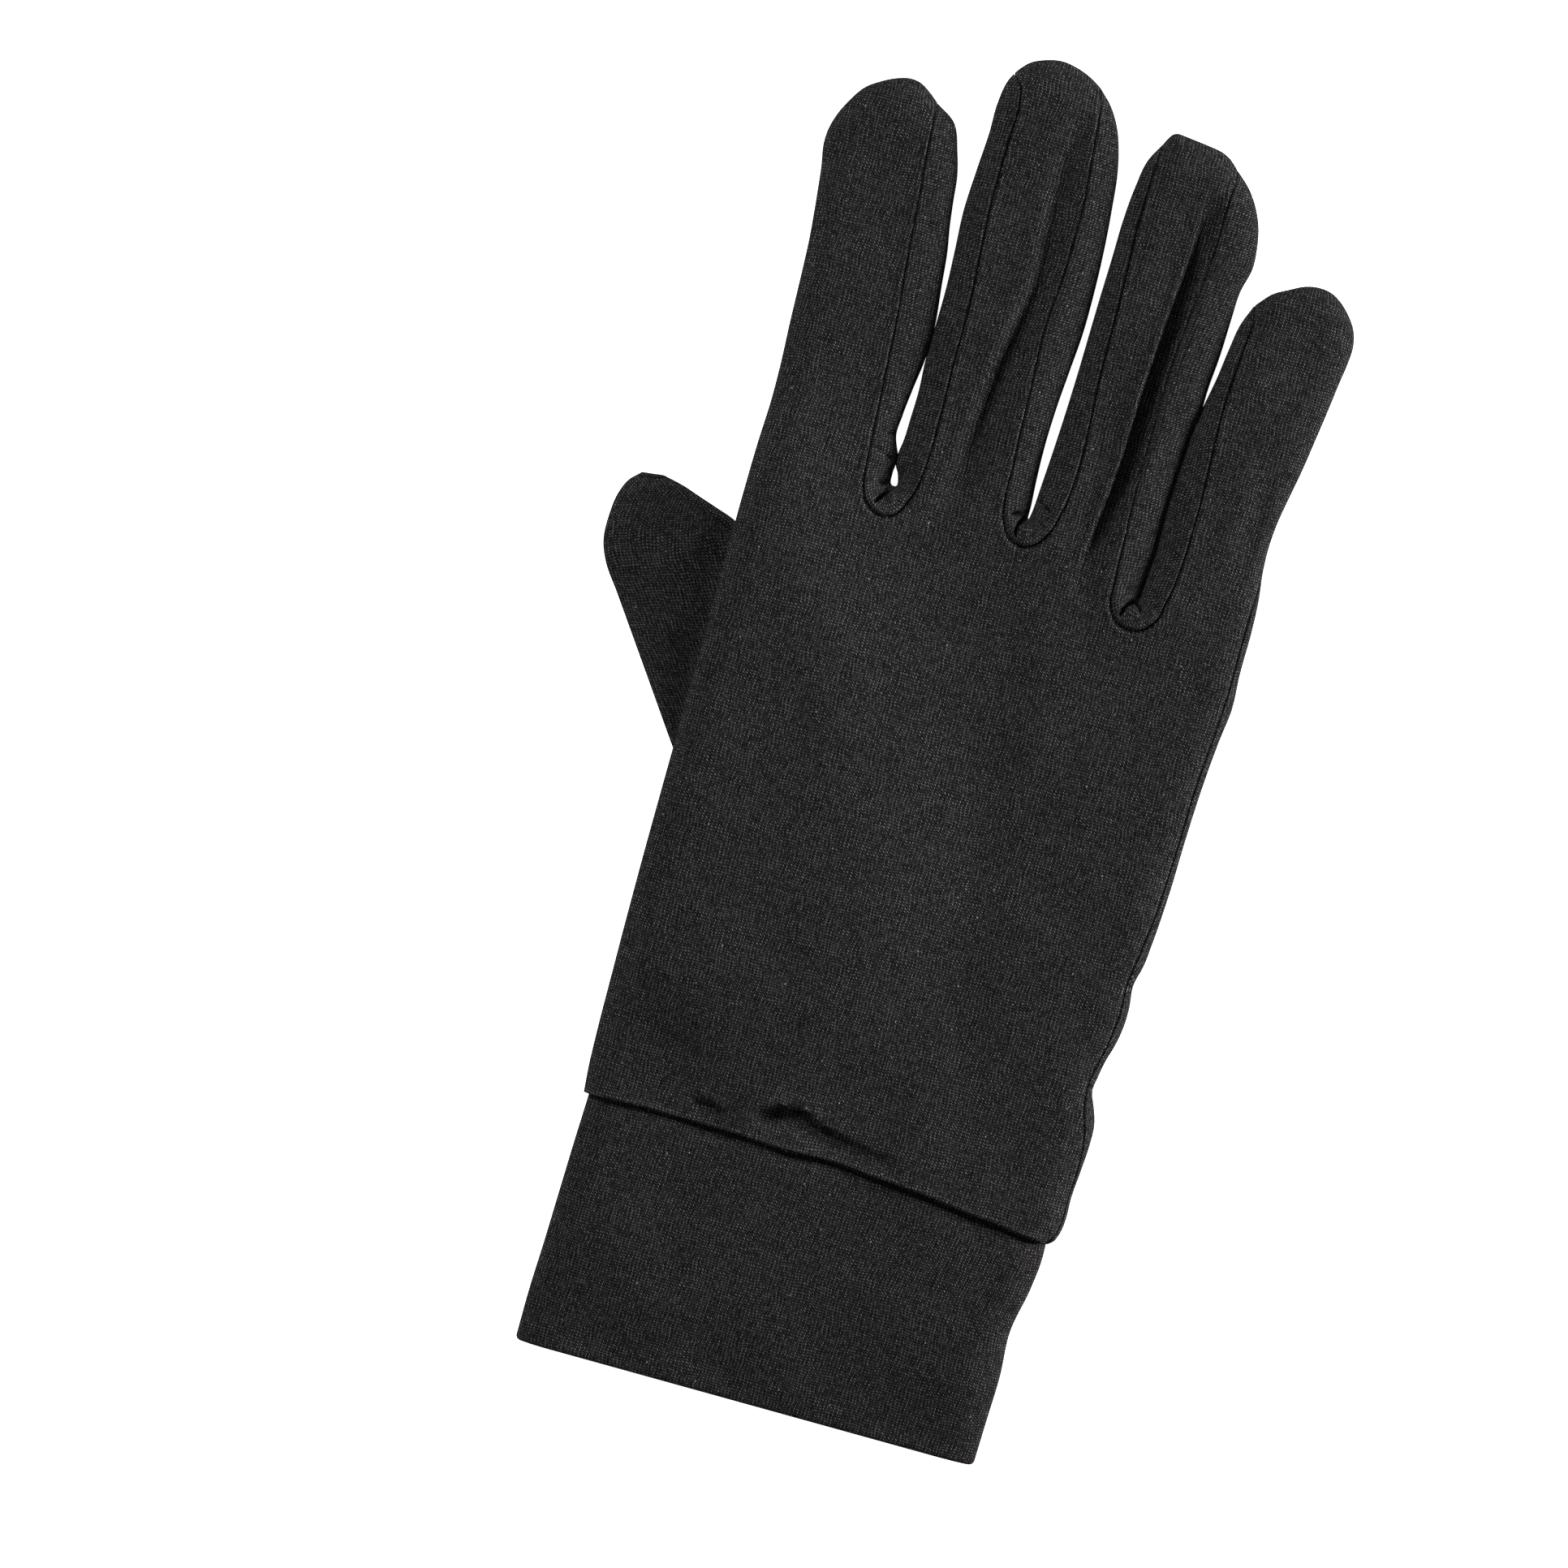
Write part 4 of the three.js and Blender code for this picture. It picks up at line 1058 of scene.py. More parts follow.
def make_strip(name):
    """One strip: its height is the tube's, its place on the cloth is the length across
    and along it, and the creases are pushed out from it as the wall is made."""
    line = strips[name]
    crotch = line[line[:, 1].argmin(), 2:4]
    along_seam = lengths(line[:, 0:2])
    number = np.arange(len(line))
    near = np.linalg.norm(line[:, 0:2] - crotch, axis=1) < ALL_ROWS_WITHIN
    kept = near | (number % 2 == 0) | (number == number[-1])
    line, along_seam = line[kept], along_seam[kept]
    patch, w = strip_grid(line)
    rows, cols = patch.shape[:2]
    plan, side = patch[..., :2].reshape(-1, 2), patch[..., 2].ravel()
    width = np.linalg.norm(line[:, 0:2] - line[:, 2:4], axis=1)
    from_seam = (width[:, None] * w[None]).ravel()
    away, _ = inset(plan)
    sink = gathered(plan)
    sewn = groove(from_seam / sink, away, depth=0.5 * sink, ridge=0.1 * sink)
    form = np.column_stack([plan, tube(plan, side, away, sewn)])
    across = lengths(form.reshape(rows, cols, 3), axis=1)
    along = lengths((1 - TO_MIDDLE) * line[:, 0:2] + TO_MIDDLE * line[:, 2:4])
    loose = LOOSE_HEIGHT * waves(plan, LOOSE_LENGTH, seed=len(name))
    pinched = crotch_relief(name, plan, crotch) * smoothstep(away, *PINCH_FADE)
    relief = (side > 0) * pinched + loose * smoothstep(away, *LOOSE_FADE)
    relief *= smoothstep(from_seam, *SEAM_FADE)
    # painted shade: the seam map holds the distance to the seam, wider where gathered, or to a
    # deep crease, whichever is nearer
    crease = np.where(side > 0, pinch_shade_distance(name, plan, crotch), FAR_FROM_SEAM)
    stitched = np.repeat(along_seam, cols)
    dark = np.minimum(from_seam / sink, crease)
    seam = np.column_stack([dark, np.where(crease < from_seam / sink, 0, stitched)])
    points = np.column_stack([form, across.ravel(), np.repeat(along, cols), relief, seam])
    flat, triangles = join_points(points, grid_triangles(rows, cols)[:, ::-1])
    shell, faces, row = cloth_wall(flat[:, :3], triangles, flat[:, 5], STRIP_WALL)
    return put_mesh(f"knit_strip_{name}", shell, faces, flat[row, 3:5], flat[row, 6:8])


knit_strips = {name: make_strip(name) for name in STRIPS}

# %% [markdown]
# ## The folded thumb
#
# The thumb is a pouch let into the palm's oval, and folded flat beneath the palm so that
# only its tip looks out. Its tube is a row of flat sections from the point of its base to
# the tip. Each section is a line between two marked edges, puffed by the same quarter
# ellipse as the hand. The pouch's own cloth fills the oval, level with the palm, and sinks
# into the hand at the seam.

# %% The thumb's sections
THUMB_THICK, THUMB_WALL, THUMB_ROUND = 3.4, 0.9, 5.0
THUMB = [  # left across, left along, right across, right along, fill, middle height
    (-22.6, 68.5, -20.4, 68.5, 0.0, 1.1), (-25.2, 74.0, -18.2, 74.5, 0.6, 1.1),
    (-29.5, 84.5, -15.0, 86.0, 0.85, 1.5), (-34.6, 96.5, -13.2, 99.5, 1.0, 1.7),
    (-39.6, 104.6, -13.4, 110.5, 1.0, 1.7), (-46.0, 113.6, -16.4, 119.5, 1.0, 1.7),
    (-52.0, 122.1, -21.4, 128.7, 1.0, 1.7), (-57.6, 130.0, -27.0, 137.0, 1.0, 1.7),
    (-62.0, 136.2, -33.0, 144.6, 1.0, 1.7), (-65.4, 141.0, -38.6, 150.4, 1.0, 1.7),
    (-67.0, 145.4, -44.5, 154.5, 1.0, 1.7), (-67.1, 149.6, -49.0, 156.1, 1.0, 1.7),
    (-66.7, 153.2, -52.4, 157.2, 1.0, 1.7), (-65.6, 156.2, -55.4, 158.2, 0.9, 1.6),
    (-63.4, 158.6, -59.4, 159.1, 0.0, 1.1),
]
SECTION_STEP = 0.9
sections = spline(THUMB, SECTION_STEP)
thumb_edge = np.concatenate([sections[:, 0:2], sections[::-1, 2:4]])
fill = np.clip(sections[:, 4], 0, 1)[:, None]
THUMB_COLUMNS = (30.0, 0.8, 0.15, 4.0)  # width, step, fine step at both ends, its reach
print("thumb:", len(sections), "sections")

# %% The thumb's tube and its relief
TIP_RIDGE, TIP_RIDGE_FROM = 0.35, 140  # height, and how far along it starts
RIDGE_AT, BEHIND_RIDGE = (1.1, 0.5), (2.0, 0.35)  # place in from the edge, and width
THUMB_CREASE = [(-58, 143, 0.0), (-53, 146, 1.0), (-48, 149, 0.0)]
CREASE_WIDTH, CREASE_DEPTH = 1.5, 0.3
THUMB_WAVES = (0.13, 14, 8)  # height, length, seed
THUMB_FADE, DIP_FADE = (0.5, 4), (0.0, 3.0)
DIP, DIP_REACH = 1.75, 4.4


def thumb_tube():
    """Shares of the way across each section on top, then back beneath. Height is the
    section's middle plus or minus its fill of the half-thickness, domed from the edge."""
    share = shares(*THUMB_COLUMNS)
    top = between(sections[:, 0:2], sections[:, 2:4], share)
    loop = np.concatenate([top, top[:, -2:0:-1], top[:, :1]], 1)
    up = np.concatenate([np.ones(len(share)), -np.ones(len(share) - 2), [1.0]])
    away = nearest(loop.reshape(-1, 2), thumb_edge)[0].reshape(loop.shape[:2])
    z = sections[:, 5][:, None] + up * (THUMB_THICK / 2 * fill) * dome(away, THUMB_ROUND)
    return np.concatenate([loop, z[..., None]], -1), away, up


def thumb_relief(grid, away, up):
    """A ridge of seam along the upper right edge near the tip, one soft crease across the
    thumb, slow waves, and the slope by which it dips beneath the hand's edge. All of it
    fades with the cube of a section's fill."""
    plan = grid[..., :2].reshape(-1, 2)
    height, length, seed = THUMB_WAVES
    seam, from_hand, crease, slow = (values.reshape(away.shape) for values in (
        nearest(plan, sections[:, 2:4])[0], nearest(plan, index_side)[0],
        valley(plan, THUMB_CREASE, CREASE_WIDTH, CREASE_WIDTH), waves(plan, length, seed),
    ))
    (place, width), (behind, behind_width) = RIDGE_AT, BEHIND_RIDGE
    ridge = TIP_RIDGE * bell(seam - place, width)
    ridge -= TIP_RIDGE * bell(seam - behind, behind_width)
    upper = ridge * (grid[..., 1] > TIP_RIDGE_FROM) - CREASE_DEPTH * crease
    upper += height * slow * smoothstep(away, *THUMB_FADE)
    upper -= DIP * bell(from_hand, DIP_REACH) * smoothstep(away, *DIP_FADE)
    return np.where(up > 0, upper, 0.0) * fill**3


# %% The pouch in the oval, and the whole thumb
POUCH_RINGS = (2.0, 0.06, 0.012, 0.6)  # as shares of two: step, fine step, its reach
POUCH_COLUMNS = 181
POUCH_GAP = 0.1
RIM_SINK, RIM_WIDTH, DISC_SINK = 0.7, 0.8, 0.2


def pouch_plate():
    """A disc of cloth on rings round the oval's centre, at the height of the palm's lower
    face. It rises a little into the hand towards its rim as an S-curve, and more at the
    rim itself, where it is sewn in, as a bell."""
    ring = 1 - shares(*POUCH_RINGS)[:, None]
    turn = np.linspace(0, 2 * math.pi, POUCH_COLUMNS)
    half = OVAL["half"] - POUCH_GAP
    x = OVAL["centre"][0] + half[0] * ring * np.cos(turn)
    y = OVAL["centre"][1] + half[1] * ring * np.sin(turn)
    plan = np.stack([x, y], -1)
    z = lift(plan.reshape(-1, 2)).reshape(x.shape)
    sunk = RIM_SINK * bell((1 - ring) * OVAL_SIZE, RIM_WIDTH)
    sunk += DISC_SINK * smoothstep(ring, 0, 1)
    return np.concatenate([plan, (z + sunk)[..., None]], -1)


def make_thumb():
    """The tube and the pouch's disc as two closed walls in one mesh. A place on the cloth
    is the length across and along the tube, and the plan place on the disc."""
    grid, away, up = thumb_tube()
    rows, cols = away.shape
    across = lengths(grid, axis=1)
    along = lengths(sections[:, 0:2])
    tube_rows = np.concatenate([
        grid, across[..., None] - across.max() / 4,
        np.broadcast_to(along[:, None, None], (rows, cols, 1)),
        thumb_relief(grid, away, up)[..., None],
    ], -1).reshape(rows * cols, -1)
    form, triangles = join_points(tube_rows, grid_triangles(rows, cols))
    shell, faces, row = cloth_wall(form[:, :3], triangles, form[:, 5], THUMB_WALL)
    plate = pouch_plate()
    flat = plate.reshape(-1, 3)
    disc = np.column_stack([flat, flat[:, :2]])
    disc, disc_faces = join_points(disc, grid_triangles(*plate.shape[:2])[:, ::-1])
    smooth = np.zeros(len(disc))
    leaf, leaf_faces, leaf_row = cloth_wall(disc[:, :3], disc_faces, smooth, THUMB_WALL)
    return put_mesh(
        "knit_thumb", np.concatenate([shell, leaf]),
        np.concatenate([faces, leaf_faces + len(shell)]),
        np.concatenate([form[row, 3:5], disc[leaf_row, 3:5]]),
    )


knit_thumb = make_thumb()

# %% [markdown]
# ## The cuff
#
# The cuff is one band of the same jersey, folded double at its lower edge, so there the
# cloth turns inwards round a soft lip. Its profile is carried round the flattened tube:
# down the outside, round the lip and up the inside. Beneath the hem it dips, so that the
# hand's cloth stands proud of it as the sewn edge does.

# %% The cuff's band
CUFF_BAND, CUFF_THICK, CUFF_ROUND, CUFF_LIP = 1.8, 8.4, 6.0, 0.9
CUFF = [  # along, left, right
    (0.0, -43.3, 43.3), (9.0, -43.3, 43.5), (18.0, -43.0, 43.7), (27.0, -42.8, 43.3),
    (36.0, -42.6, 44.8), (42.5, -42.4, 45.4), (46.0, -42.3, 45.3),
]
CUFF_STEP = 0.5
cuff_sides = spline(CUFF, CUFF_STEP)
CUFF_TOP = CUFF[-1][0]
CUFF_ROWS = (2.0, 0.03, 0.006, 0.5)  # as shares of two: step, fine step, its reach
CUFF_COLUMNS = (88.0, 0.8, 0.1, 3.0)  # width, step, fine step at both edges, its reach
LIP_ROWS = 11


def cuff_profile():
    """Rows of (share of the way up to the hem, extra along in mm, inset in mm): down the
    outside, half a circle round the lip, up the inside, and back to the first row."""
    up = shares(*CUFF_ROWS)
    none = np.zeros(len(up))
    turn = np.linspace(0, math.pi, LIP_ROWS + 2)[1:-1]
    outer = np.stack([up[::-1], none, none], -1)
    lip = np.stack([0 * turn, -CUFF_LIP * np.sin(turn), CUFF_LIP * (1 - np.cos(turn))], -1)
    inner = np.stack([up, none, none + CUFF_BAND], -1)
    return np.concatenate([outer, lip, inner, outer[:1]])


def cuff_round():
    """Shares of the way across and the side, up or down, for a trip round the cuff: over
    the top, back beneath, and turned so that it starts in the middle of the underside."""
    top = shares(*CUFF_COLUMNS)
    share = np.concatenate([top, top[-2:0:-1]])
    up = np.concatenate([np.ones(len(top)), -np.ones(len(top) - 2)])
    start = len(top) + len(top) // 2
    share, up = np.roll(share, -start), np.roll(up, -start)
    return np.append(share, share[0]), np.append(up, up[0])


print("cuff:", len(cuff_profile()), "rows and", len(cuff_round()[0]), "columns")

# %% Carrying the profile round the cuff
UNDER_HEM = 0.35
HEM_DIP, HEM_DIP_MORE, HEM_DIP_REACH = 0.8, 0.6, 1.5
MORE_BETWEEN = (-9, -3)  # across, where the dip deepens
MOUTH_DIP, MOUTH_REACH = 1.5, 11.0
CUFF_WAVES = (0.22, 24, 12)  # height, length, seed
EDGE_FADE, LIP_FADE = (0.5, 5), (0, 4)
MEASURED_ROW = 10  # the length round the cuff is taken along this row
ROUND_LIP = 2.8  # cloth that goes round the lip


def make_cuff():
    """The profile's rows by the round's columns. Height is the middle plus or minus the
    half-thickness, domed from the edges, less the dips beneath the hem and at the mouth."""
    profile = cuff_profile()
    share, up = cuff_round()
    at, extra, inset_by = (profile[:, k, None] for k in range(3))
    level = CUFF_LIP + at * (CUFF_TOP - CUFF_LIP) + extra
    left = np.interp(level, cuff_sides[:, 0], cuff_sides[:, 1]) + inset_by
    right = np.interp(level, cuff_sides[:, 0], cuff_sides[:, 2]) - inset_by
    x = left + (right - left) * share
    hem = np.interp(x, hem_line[:, 0], hem_line[:, 1]) + UNDER_HEM
    y = CUFF_LIP + at * (hem - CUFF_LIP) + extra
    edge = np.minimum(x - left, right - x)
    dip = HEM_DIP + HEM_DIP_MORE * smoothstep(x, *MORE_BETWEEN)
    dip = dip * bell(hem - UNDER_HEM - y, HEM_DIP_REACH)
    mouth = MOUTH_DIP * bell(y, MOUTH_REACH) * (up > 0)
    half = CUFF_THICK / 2 - inset_by - dip - mouth
    z = CUFF_THICK / 2 + up * half * dome(edge, CUFF_ROUND)
    height, length, seed = CUFF_WAVES
    slow = waves(np.stack([x, y], -1).reshape(-1, 2), length, seed).reshape(x.shape)
    outer = (inset_by == 0) & (extra == 0)
    relief = height * slow * smoothstep(edge, *EDGE_FADE)
    relief = relief * smoothstep(y, *LIP_FADE) * (up > 0) * outer
    arc = lengths(np.stack([x[MEASURED_ROW], z[MEASURED_ROW]], -1))
    cloth_x = np.broadcast_to(arc - arc.max() / 2, x.shape)
    cloth_y = np.where(inset_by > CUFF_LIP, -y - ROUND_LIP, y)
    flat = np.stack([x, y, z + relief * up, cloth_x, cloth_y], -1).reshape(-1, 5)
    flat[:, 2] = np.maximum(flat[:, 2], FLOOR)
    flat, triangles = join_points(flat, grid_triangles(*x.shape))
    return put_mesh("knit_cuff", flat[:, :3], triangles[:, ::-1], flat[:, 3:5])


knit_cuff = make_cuff()

# %% [markdown]
# ## The knit as a material
#
# Fine jersey shows columns of V-shaped stitches: wales, 0.65 mm wide, in courses half a
# millimetre high. Real stitches in the mesh would be thousands of small loops, so here the
# shader works them out from the cloth's own coordinates. Within one wale, a is nought at
# its middle and one at its sides. A stitch's leg climbs with a, so y less some of a is the
# same all along the leg, and a cosine of it gives the leg and the gap. That height bumps the
# cloth and also sets its tone: painted light on the legs, painted shade in the gaps.


# %% Writing node trees as formulas
class Weaver:
    """Adds shader nodes as if they were sums. Each method but surface returns an output
    socket."""

    def __init__(self, name):
        self.material = bpy.data.materials.new(name)
        self.material.use_nodes = True
        self.tree = self.material.node_tree
        self.shader = self.tree.nodes["Principled BSDF"]

    def node(self, kind, inputs, out=0, **settings):
        """One node of a kind, its inputs by name or number, and one of its outputs."""
        node = self.tree.nodes.new(kind)
        for key, value in settings.items():
            setattr(node, key, value)
        for key, value in inputs.items():
            if isinstance(value, bpy.types.NodeSocket):
                self.tree.links.new(value, node.inputs[key])
            else:
                node.inputs[key].default_value = value
        return node.outputs[out]

    def math(self, operation, *values):
        """The operation's result for two or three numbers."""
        return self.node("ShaderNodeMath", dict(enumerate(values)), operation=operation)

    def times(self, first, *others):
        """The product of several numbers."""
        for other in others:
            first = self.math("MULTIPLY", first, other)
        return first

    def vector(self, operation, *values):
        """The same for vectors. SCALE takes a vector and a number."""
        inputs = dict(enumerate(values))
        if operation == "SCALE":
            inputs = {0: values[0], "Scale": values[1]}
        return self.node("ShaderNodeVectorMath", inputs, operation=operation)

    def pack(self, x, y):
        """A vector with the two numbers and nought."""
        return self.node("ShaderNodeCombineXYZ", {0: x, 1: y, 2: 0.0})

    def part(self, vector, axis):
        """One of a vector's three numbers."""
        return self.node("ShaderNodeSeparateXYZ", {0: vector}, out=axis)

    def place(self, layer):
        """A piece's own UV map, in millimetres."""
        return self.vector("SCALE", self.node("ShaderNodeUVMap", {}, uv_map=layer), UV_TO_MM)

    def noise(self, vector, scale, detail=1.0, rough=0.5, out=0):
        """Cloudy noise from nought to one: a number, or a colour with out=1."""
        return self.node("ShaderNodeTexNoise", {"Vector": vector, "Scale": scale,
                         "Detail": detail, "Roughness": rough}, out=out)

    def drift(self, vector, scale):
        """Three numbers that wander about nought, by half to either side at most."""
        return self.vector("SUBTRACT", self.noise(vector, scale, out=1), (0.5, 0.5, 0.5))

    def between(self, value, low, high, to_low=0.0, to_high=1.0):
        """The value's place from low to high, spread over to_low to to_high."""
        return self.node("ShaderNodeMapRange", {"Value": value, "From Min": low,
                         "From Max": high, "To Min": to_low, "To Max": to_high})

    def blend(self, share, first, second):
        """The first colour, with that share of the second mixed in."""
        return self.node("ShaderNodeMix", {"Factor": share, 6: first, 7: second},
                         out=2, data_type="RGBA")

    def surface(self, links, values):
        """Links sockets to the shader's inputs, and sets others to a value."""
        for key, socket in links.items():
            self.tree.links.new(socket, self.shader.inputs[key])
        for key, value in values.items():
            self.shader.inputs[key].default_value = value


# %% Stitches, from a place on the cloth
WALE, COURSE, LEG_RISE = 0.65, 0.485, 0.64
MIDDLE_OF_WALE = (-0.05, 0.05)
LEG_POWER, MEAN_LEG = 1.35, 0.43  # above one, the power widens the gaps between the legs
RIDGE_POWER, RIDGE_SHARE = 0.8, 0.9
LEG_PAINTED_LIGHT = (1.38, 0.62)
WOOL_TONES = (0.44, 1.56)


def stitches(w, loose):
    """Height of the stitches, the painted light and shade of their legs by how they lean, and
    the wool of each leg. The height is the leg's wave times a ridge along the middle of the
    leg; the tone takes it too, as painted shade in the gaps."""
    x = w.math("DIVIDE", w.part(loose, 0), WALE)
    y = w.math("DIVIDE", w.part(loose, 1), COURSE)
    off = w.math("SUBTRACT", w.math("FRACT", x), 0.5)
    a = w.times(w.math("ABSOLUTE", off), 2.0)
    phase = w.math("SUBTRACT", y, w.times(a, LEG_RISE))
    wave = w.math("COSINE", w.times(phase, 2 * math.pi))
    leg = w.math("POWER", w.math("MULTIPLY_ADD", wave, 0.5, 0.5), LEG_POWER)

    # painted light: the left legs are painted lighter and show their gaps; the right ones
    # are painted darker, as if turned from the light, and look more even
    right = w.between(off, *MIDDLE_OF_WALE)
    even = w.math("MULTIPLY_ADD", w.math("SUBTRACT", leg, MEAN_LEG), 0.5, MEAN_LEG)
    leg = w.node("ShaderNodeMix", {"Factor": right, 2: leg, 3: even})
    ridge = w.math("POWER", w.math("SINE", w.times(a, math.pi)), RIDGE_POWER)
    height = w.times(leg, w.math("MULTIPLY_ADD", ridge, RIDGE_SHARE, 1 - RIDGE_SHARE))
    # painted light and shade: a tone factor, higher on the left legs, lower on the right
    painted_leg_light = w.between(off, *MIDDLE_OF_WALE, *LEG_PAINTED_LIGHT)

    # every leg is a piece of yarn with its own mix of dark and light wool
    half_wale = w.math("FLOOR", w.times(x, 2.0))
    course = w.math("FLOOR", w.math("ADD", phase, 0.5))
    own = w.node("ShaderNodeTexWhiteNoise", {"Vector": w.pack(half_wale, course)})
    return height, painted_leg_light, w.between(own, 0.0, 1.0, *WOOL_TONES)


# %% Painted seam shade and highlight, and lint
STITCH = 1.05
# painted shade along the seams and creases: its strength, its change with each stitch, and where
# it fades out
SEAM_SHADE, SEAM_SHADE_VARIES, SEAM_SHADE_EDGE = 0.53, 0.25, (0.06, 0.26)
# painted highlight beside a seam: its strength, and where it rises and fades
RIM_LIGHT, RIM_STARTS, RIM_ENDS = 0.2, (0.2, 0.35), (0.45, 0.9)
LINT, LINT_COLOUR = 0.7, (0.30, 0.30, 0.31, 1.0)
LINT_TURN, LINT_SCALE, LINT_SIZE = (1.3, 0.9, 1.0), 0.30, (0.025, 0.05)


def painted_seam_shade(w):
    """Two factors for the tone: painted shade in a line where the thread is sunk, tighter at
    every stitch, and a painted highlight on the cloth beside it. On the strips the same map
    puts painted shade into the deep creases of the crotch."""
    seam = w.place("seam")
    beside, along = w.part(seam, 0), w.part(seam, 1)
    stitch = w.math("COSINE", w.times(along, 2 * math.pi / STITCH))
    sunk = w.math("MULTIPLY_ADD", stitch, SEAM_SHADE_VARIES, SEAM_SHADE)
    sunk = w.times(sunk, w.between(beside, *SEAM_SHADE_EDGE, 1.0, 0.0))
    lit = w.times(w.between(beside, *RIM_STARTS), w.between(beside, *RIM_ENDS, 1.0, 0.0))
    return w.math("SUBTRACT", 1.0, sunk), w.math("MULTIPLY_ADD", lit, RIM_LIGHT, 1.0)


def add_lint(w, colour, loose):
    """Rare light flecks, up to a quarter of a millimetre long: the places that are nearest
    to scattered points."""
    place = w.vector("MULTIPLY", loose, LINT_TURN)
    fleck = w.node("ShaderNodeTexVoronoi",
                   {"Vector": place, "Scale": LINT_SCALE, "Randomness": 1.0})
    near = w.between(fleck, *LINT_SIZE, 1.0, 0.0)
    return w.blend(w.times(near, LINT), colour, LINT_COLOUR)


# %% Jersey
SLOW_DRIFT, QUICK_DRIFT = (0.22, 1.2), (1.7, 0.12)  # scale of the noise, and its reach
FIBRE_NOISE, FIBRE_CONTRAST, FIBRE_RELIEF = (2.4, 2.0, 0.8), 9.0, 0.35
STREAK_STRETCH, STREAK_TONES = (0.05, 1.6, 1.0), (0.87, 1.13)
MOTTLE_SCALE, MOTTLE_TONES = 0.11, (0.95, 1.05)
NOISE_BAND = (0.3, 0.7)  # where most of a noise lies
DARKEST = (0.001, 0.001, 0.001)
BUMP_DEPTH, BUMP_STRENGTH = 0.00011, 0.3  # the depth is in metres


def jersey(name, crest):
    """Cloth whose colour and bump come from one formula for the height of its stitches.
    The tone is a product: the painted light and shade of a leg by its lean, its wool, the
    fibres finer than the yarn, long streaks, a slow mottle, the painted shade and highlight of
    the seams, and the height itself, which paints shade into the gaps."""
    w = Weaver(name)
    flat = w.place("cloth")
    loose = flat
    for scale, reach in (SLOW_DRIFT, QUICK_DRIFT):
        loose = w.vector("ADD", loose, w.vector("SCALE", w.drift(flat, scale), reach))
    height, painted_leg_light, wool = stitches(w, loose)
    fibre = w.noise(flat, *FIBRE_NOISE)
    fibre_tone = w.math("POWER", FIBRE_CONTRAST, w.math("SUBTRACT", fibre, 0.5))
    streak = w.noise(w.vector("MULTIPLY", flat, STREAK_STRETCH), 1.0, 2.0)
    streak = w.between(streak, *NOISE_BAND, *STREAK_TONES)
    mottle = w.between(w.noise(flat, MOTTLE_SCALE), *NOISE_BAND, *MOTTLE_TONES)
    # the tone paints in light and shade: the lean of the legs, the seams' shade and highlight,
    # and the stitch height as shade in the gaps
    tone = w.times(painted_leg_light, wool, fibre_tone, streak, mottle, *painted_seam_shade(w), height)

    wool_colour = w.node("ShaderNodeRGB", {})
    wool_colour.default_value = crest
    colour = w.vector("ADD", w.vector("SCALE", wool_colour, tone), DARKEST)
    relief = w.math("MULTIPLY_ADD", fibre, FIBRE_RELIEF, height)
    bump = w.node("ShaderNodeBump", {"Height": relief, "Distance": BUMP_DEPTH,
                                     "Strength": BUMP_STRENGTH})
    w.surface({"Base Color": add_lint(w, colour, loose), "Normal": bump},
              {"Roughness": 1.0, "Specular IOR Level": 0.0})
    return w.material


charcoal_knit = jersey("charcoal_knit", crest=(0.0545, 0.0521, 0.0542, 1))
cuff_knit = jersey("cuff_knit", crest=(0.053, 0.0502, 0.0511, 1))
print("knit:", len(charcoal_knit.node_tree.nodes), "nodes in each cloth")

# %% [markdown]
# ## Giving every piece its cloth, its place and its body
#
# Each finished piece stands for one node of the imported model, which keeps the collision
# shape, and gets its own knit material; the slot listed beside it isn't used. Cloth has no
# joints, so everything rides on the one body.

# %% Materials, nodes and slots
PIECES = {
    knit_back: ("back", charcoal_knit, "knit"),
    knit_palm: ("palm", charcoal_knit, "knit"),
    knit_thumb: ("thumb", charcoal_knit, "knit"),
    knit_cuff: ("cuff", cuff_knit, "cuff_knit"),
}
for name, strip in knit_strips.items():
    PIECES[strip] = (f"fourchette_{name}", charcoal_knit, "knit")
for piece, (node, cloth, slot) in PIECES.items():
    piece.data.materials.append(cloth)
    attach(piece, "root")
    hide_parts(node)
print("pieces:", {piece.name: node for piece, (node, *_) in PIECES.items()})

# %% [markdown]
# ## Table, light and camera
#
# The glove was photographed from straight above on a pure white ground without a shadow.
# Lamps bright enough to make it so would wash out the dark wool, so the ground gives light
# of its own. The glove is lit by a dome of even light, a soft panel high at the upper left,
# and a low one at the right, which lights the rims of the fingers on that side. The camera
# stands over the glove, turned by the angle at which the glove lies.

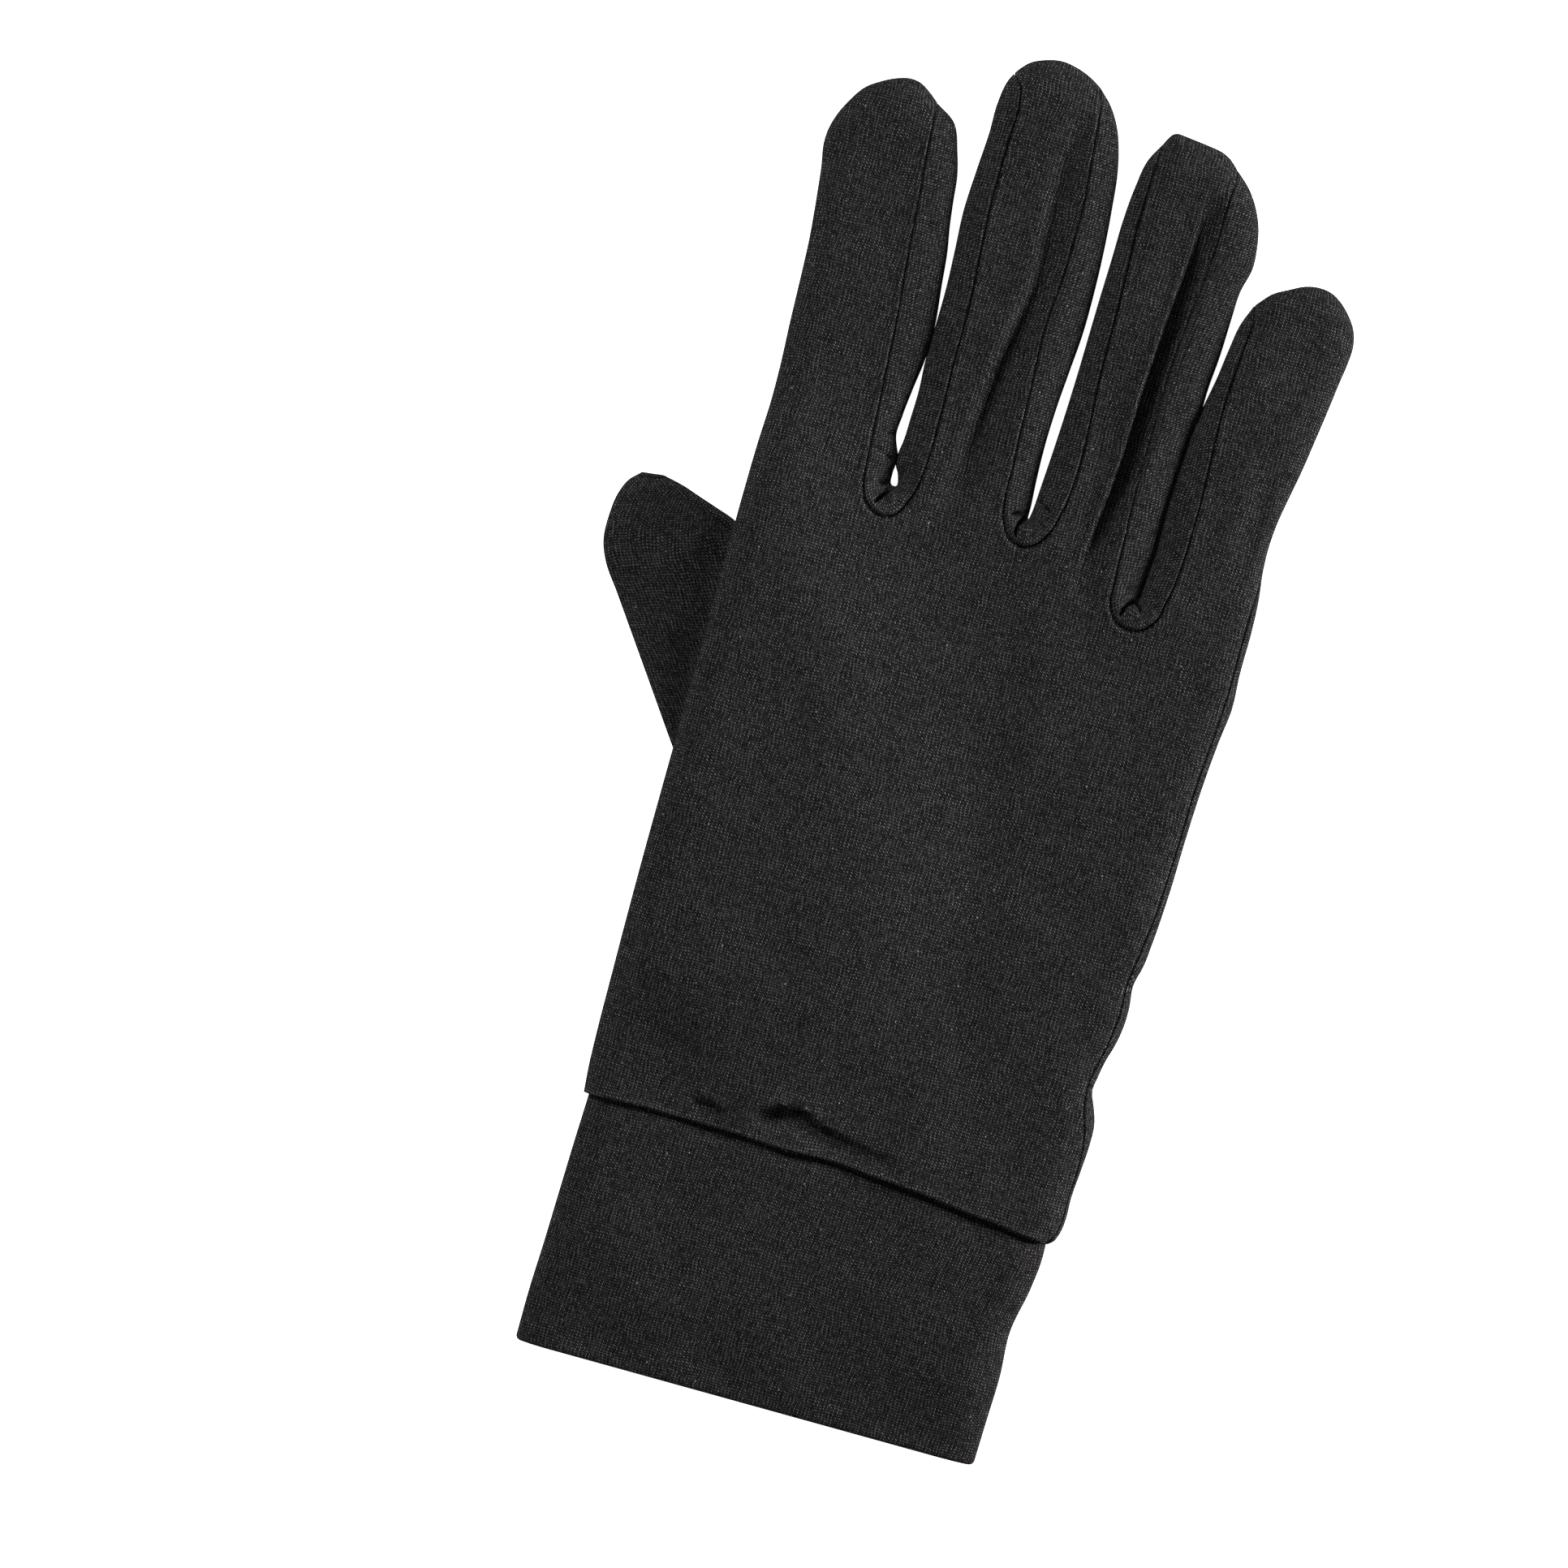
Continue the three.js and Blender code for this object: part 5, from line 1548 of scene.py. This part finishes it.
# %% The white ground
GROUND_REACH, GROUND_BELOW = 3.0, -5e-5  # metres
CORNERS = [(-1, -1), (1, -1), (1, 1), (-1, 1)]
ground = bpy.data.meshes.new("ground")
ground.from_pydata([(x * GROUND_REACH, y * GROUND_REACH, GROUND_BELOW) for x, y in CORNERS],
                   [], [(0, 1, 2, 3)])
floor = bpy.data.objects.new("ground", ground)
scene.collection.objects.link(floor)
paper = Weaver("white_ground")
paper.surface({}, {
    "Base Color": (0.93, 0.93, 0.93, 1), "Roughness": 0.9, "Specular IOR Level": 0.1,
    "Emission Color": (1, 1, 1, 1), "Emission Strength": 1.0,
})
ground.materials.append(paper.material)
print("ground:", 2 * GROUND_REACH, "metres square")

# %% Light
DOME_LIGHT = 0.3
scene.view_settings.view_transform = "Standard"
world = bpy.data.worlds.new("even_light")
world.use_nodes = True
sky = world.node_tree.nodes["Background"].inputs
sky["Color"].default_value = (1, 1, 1, 1)
sky["Strength"].default_value = DOME_LIGHT
scene.world = world


def soft_panel(name, place, size, power):
    """A square area light at a place in metres, turned to face the frame's origin."""
    lamp = bpy.data.lights.new(name, "AREA")
    lamp.shape, lamp.size, lamp.energy = "SQUARE", size, power
    holder = bpy.data.objects.new(name, lamp)
    scene.collection.objects.link(holder)
    holder.location = place
    aim = -holder.location.normalized()
    holder.rotation_euler = aim.to_track_quat("-Z", "Y").to_euler()


soft_panel("key", place=(-0.75, 0.65, 0.9), size=0.4, power=17.6)
soft_panel("side", place=(0.9, 0.27, 0.215), size=0.28, power=20.5)

# %% Camera
LEAN = math.radians(15.5)
VIEW_CENTRE = np.array([-23.1, 110.5, 0.0])
EYE_HEIGHT = 0.798  # metres
eye = bpy.data.cameras.new("camera")
eye.lens, eye.sensor_width = 100.0, 36.0
camera = bpy.data.objects.new("camera", eye)
scene.collection.objects.link(camera)
camera.location = (*to_frame(VIEW_CENTRE)[:2], EYE_HEIGHT)
camera.rotation_euler = (0, 0, LEAN)
scene.camera = camera
print("camera looks at", VIEW_CENTRE[:2], "mm in the draft")
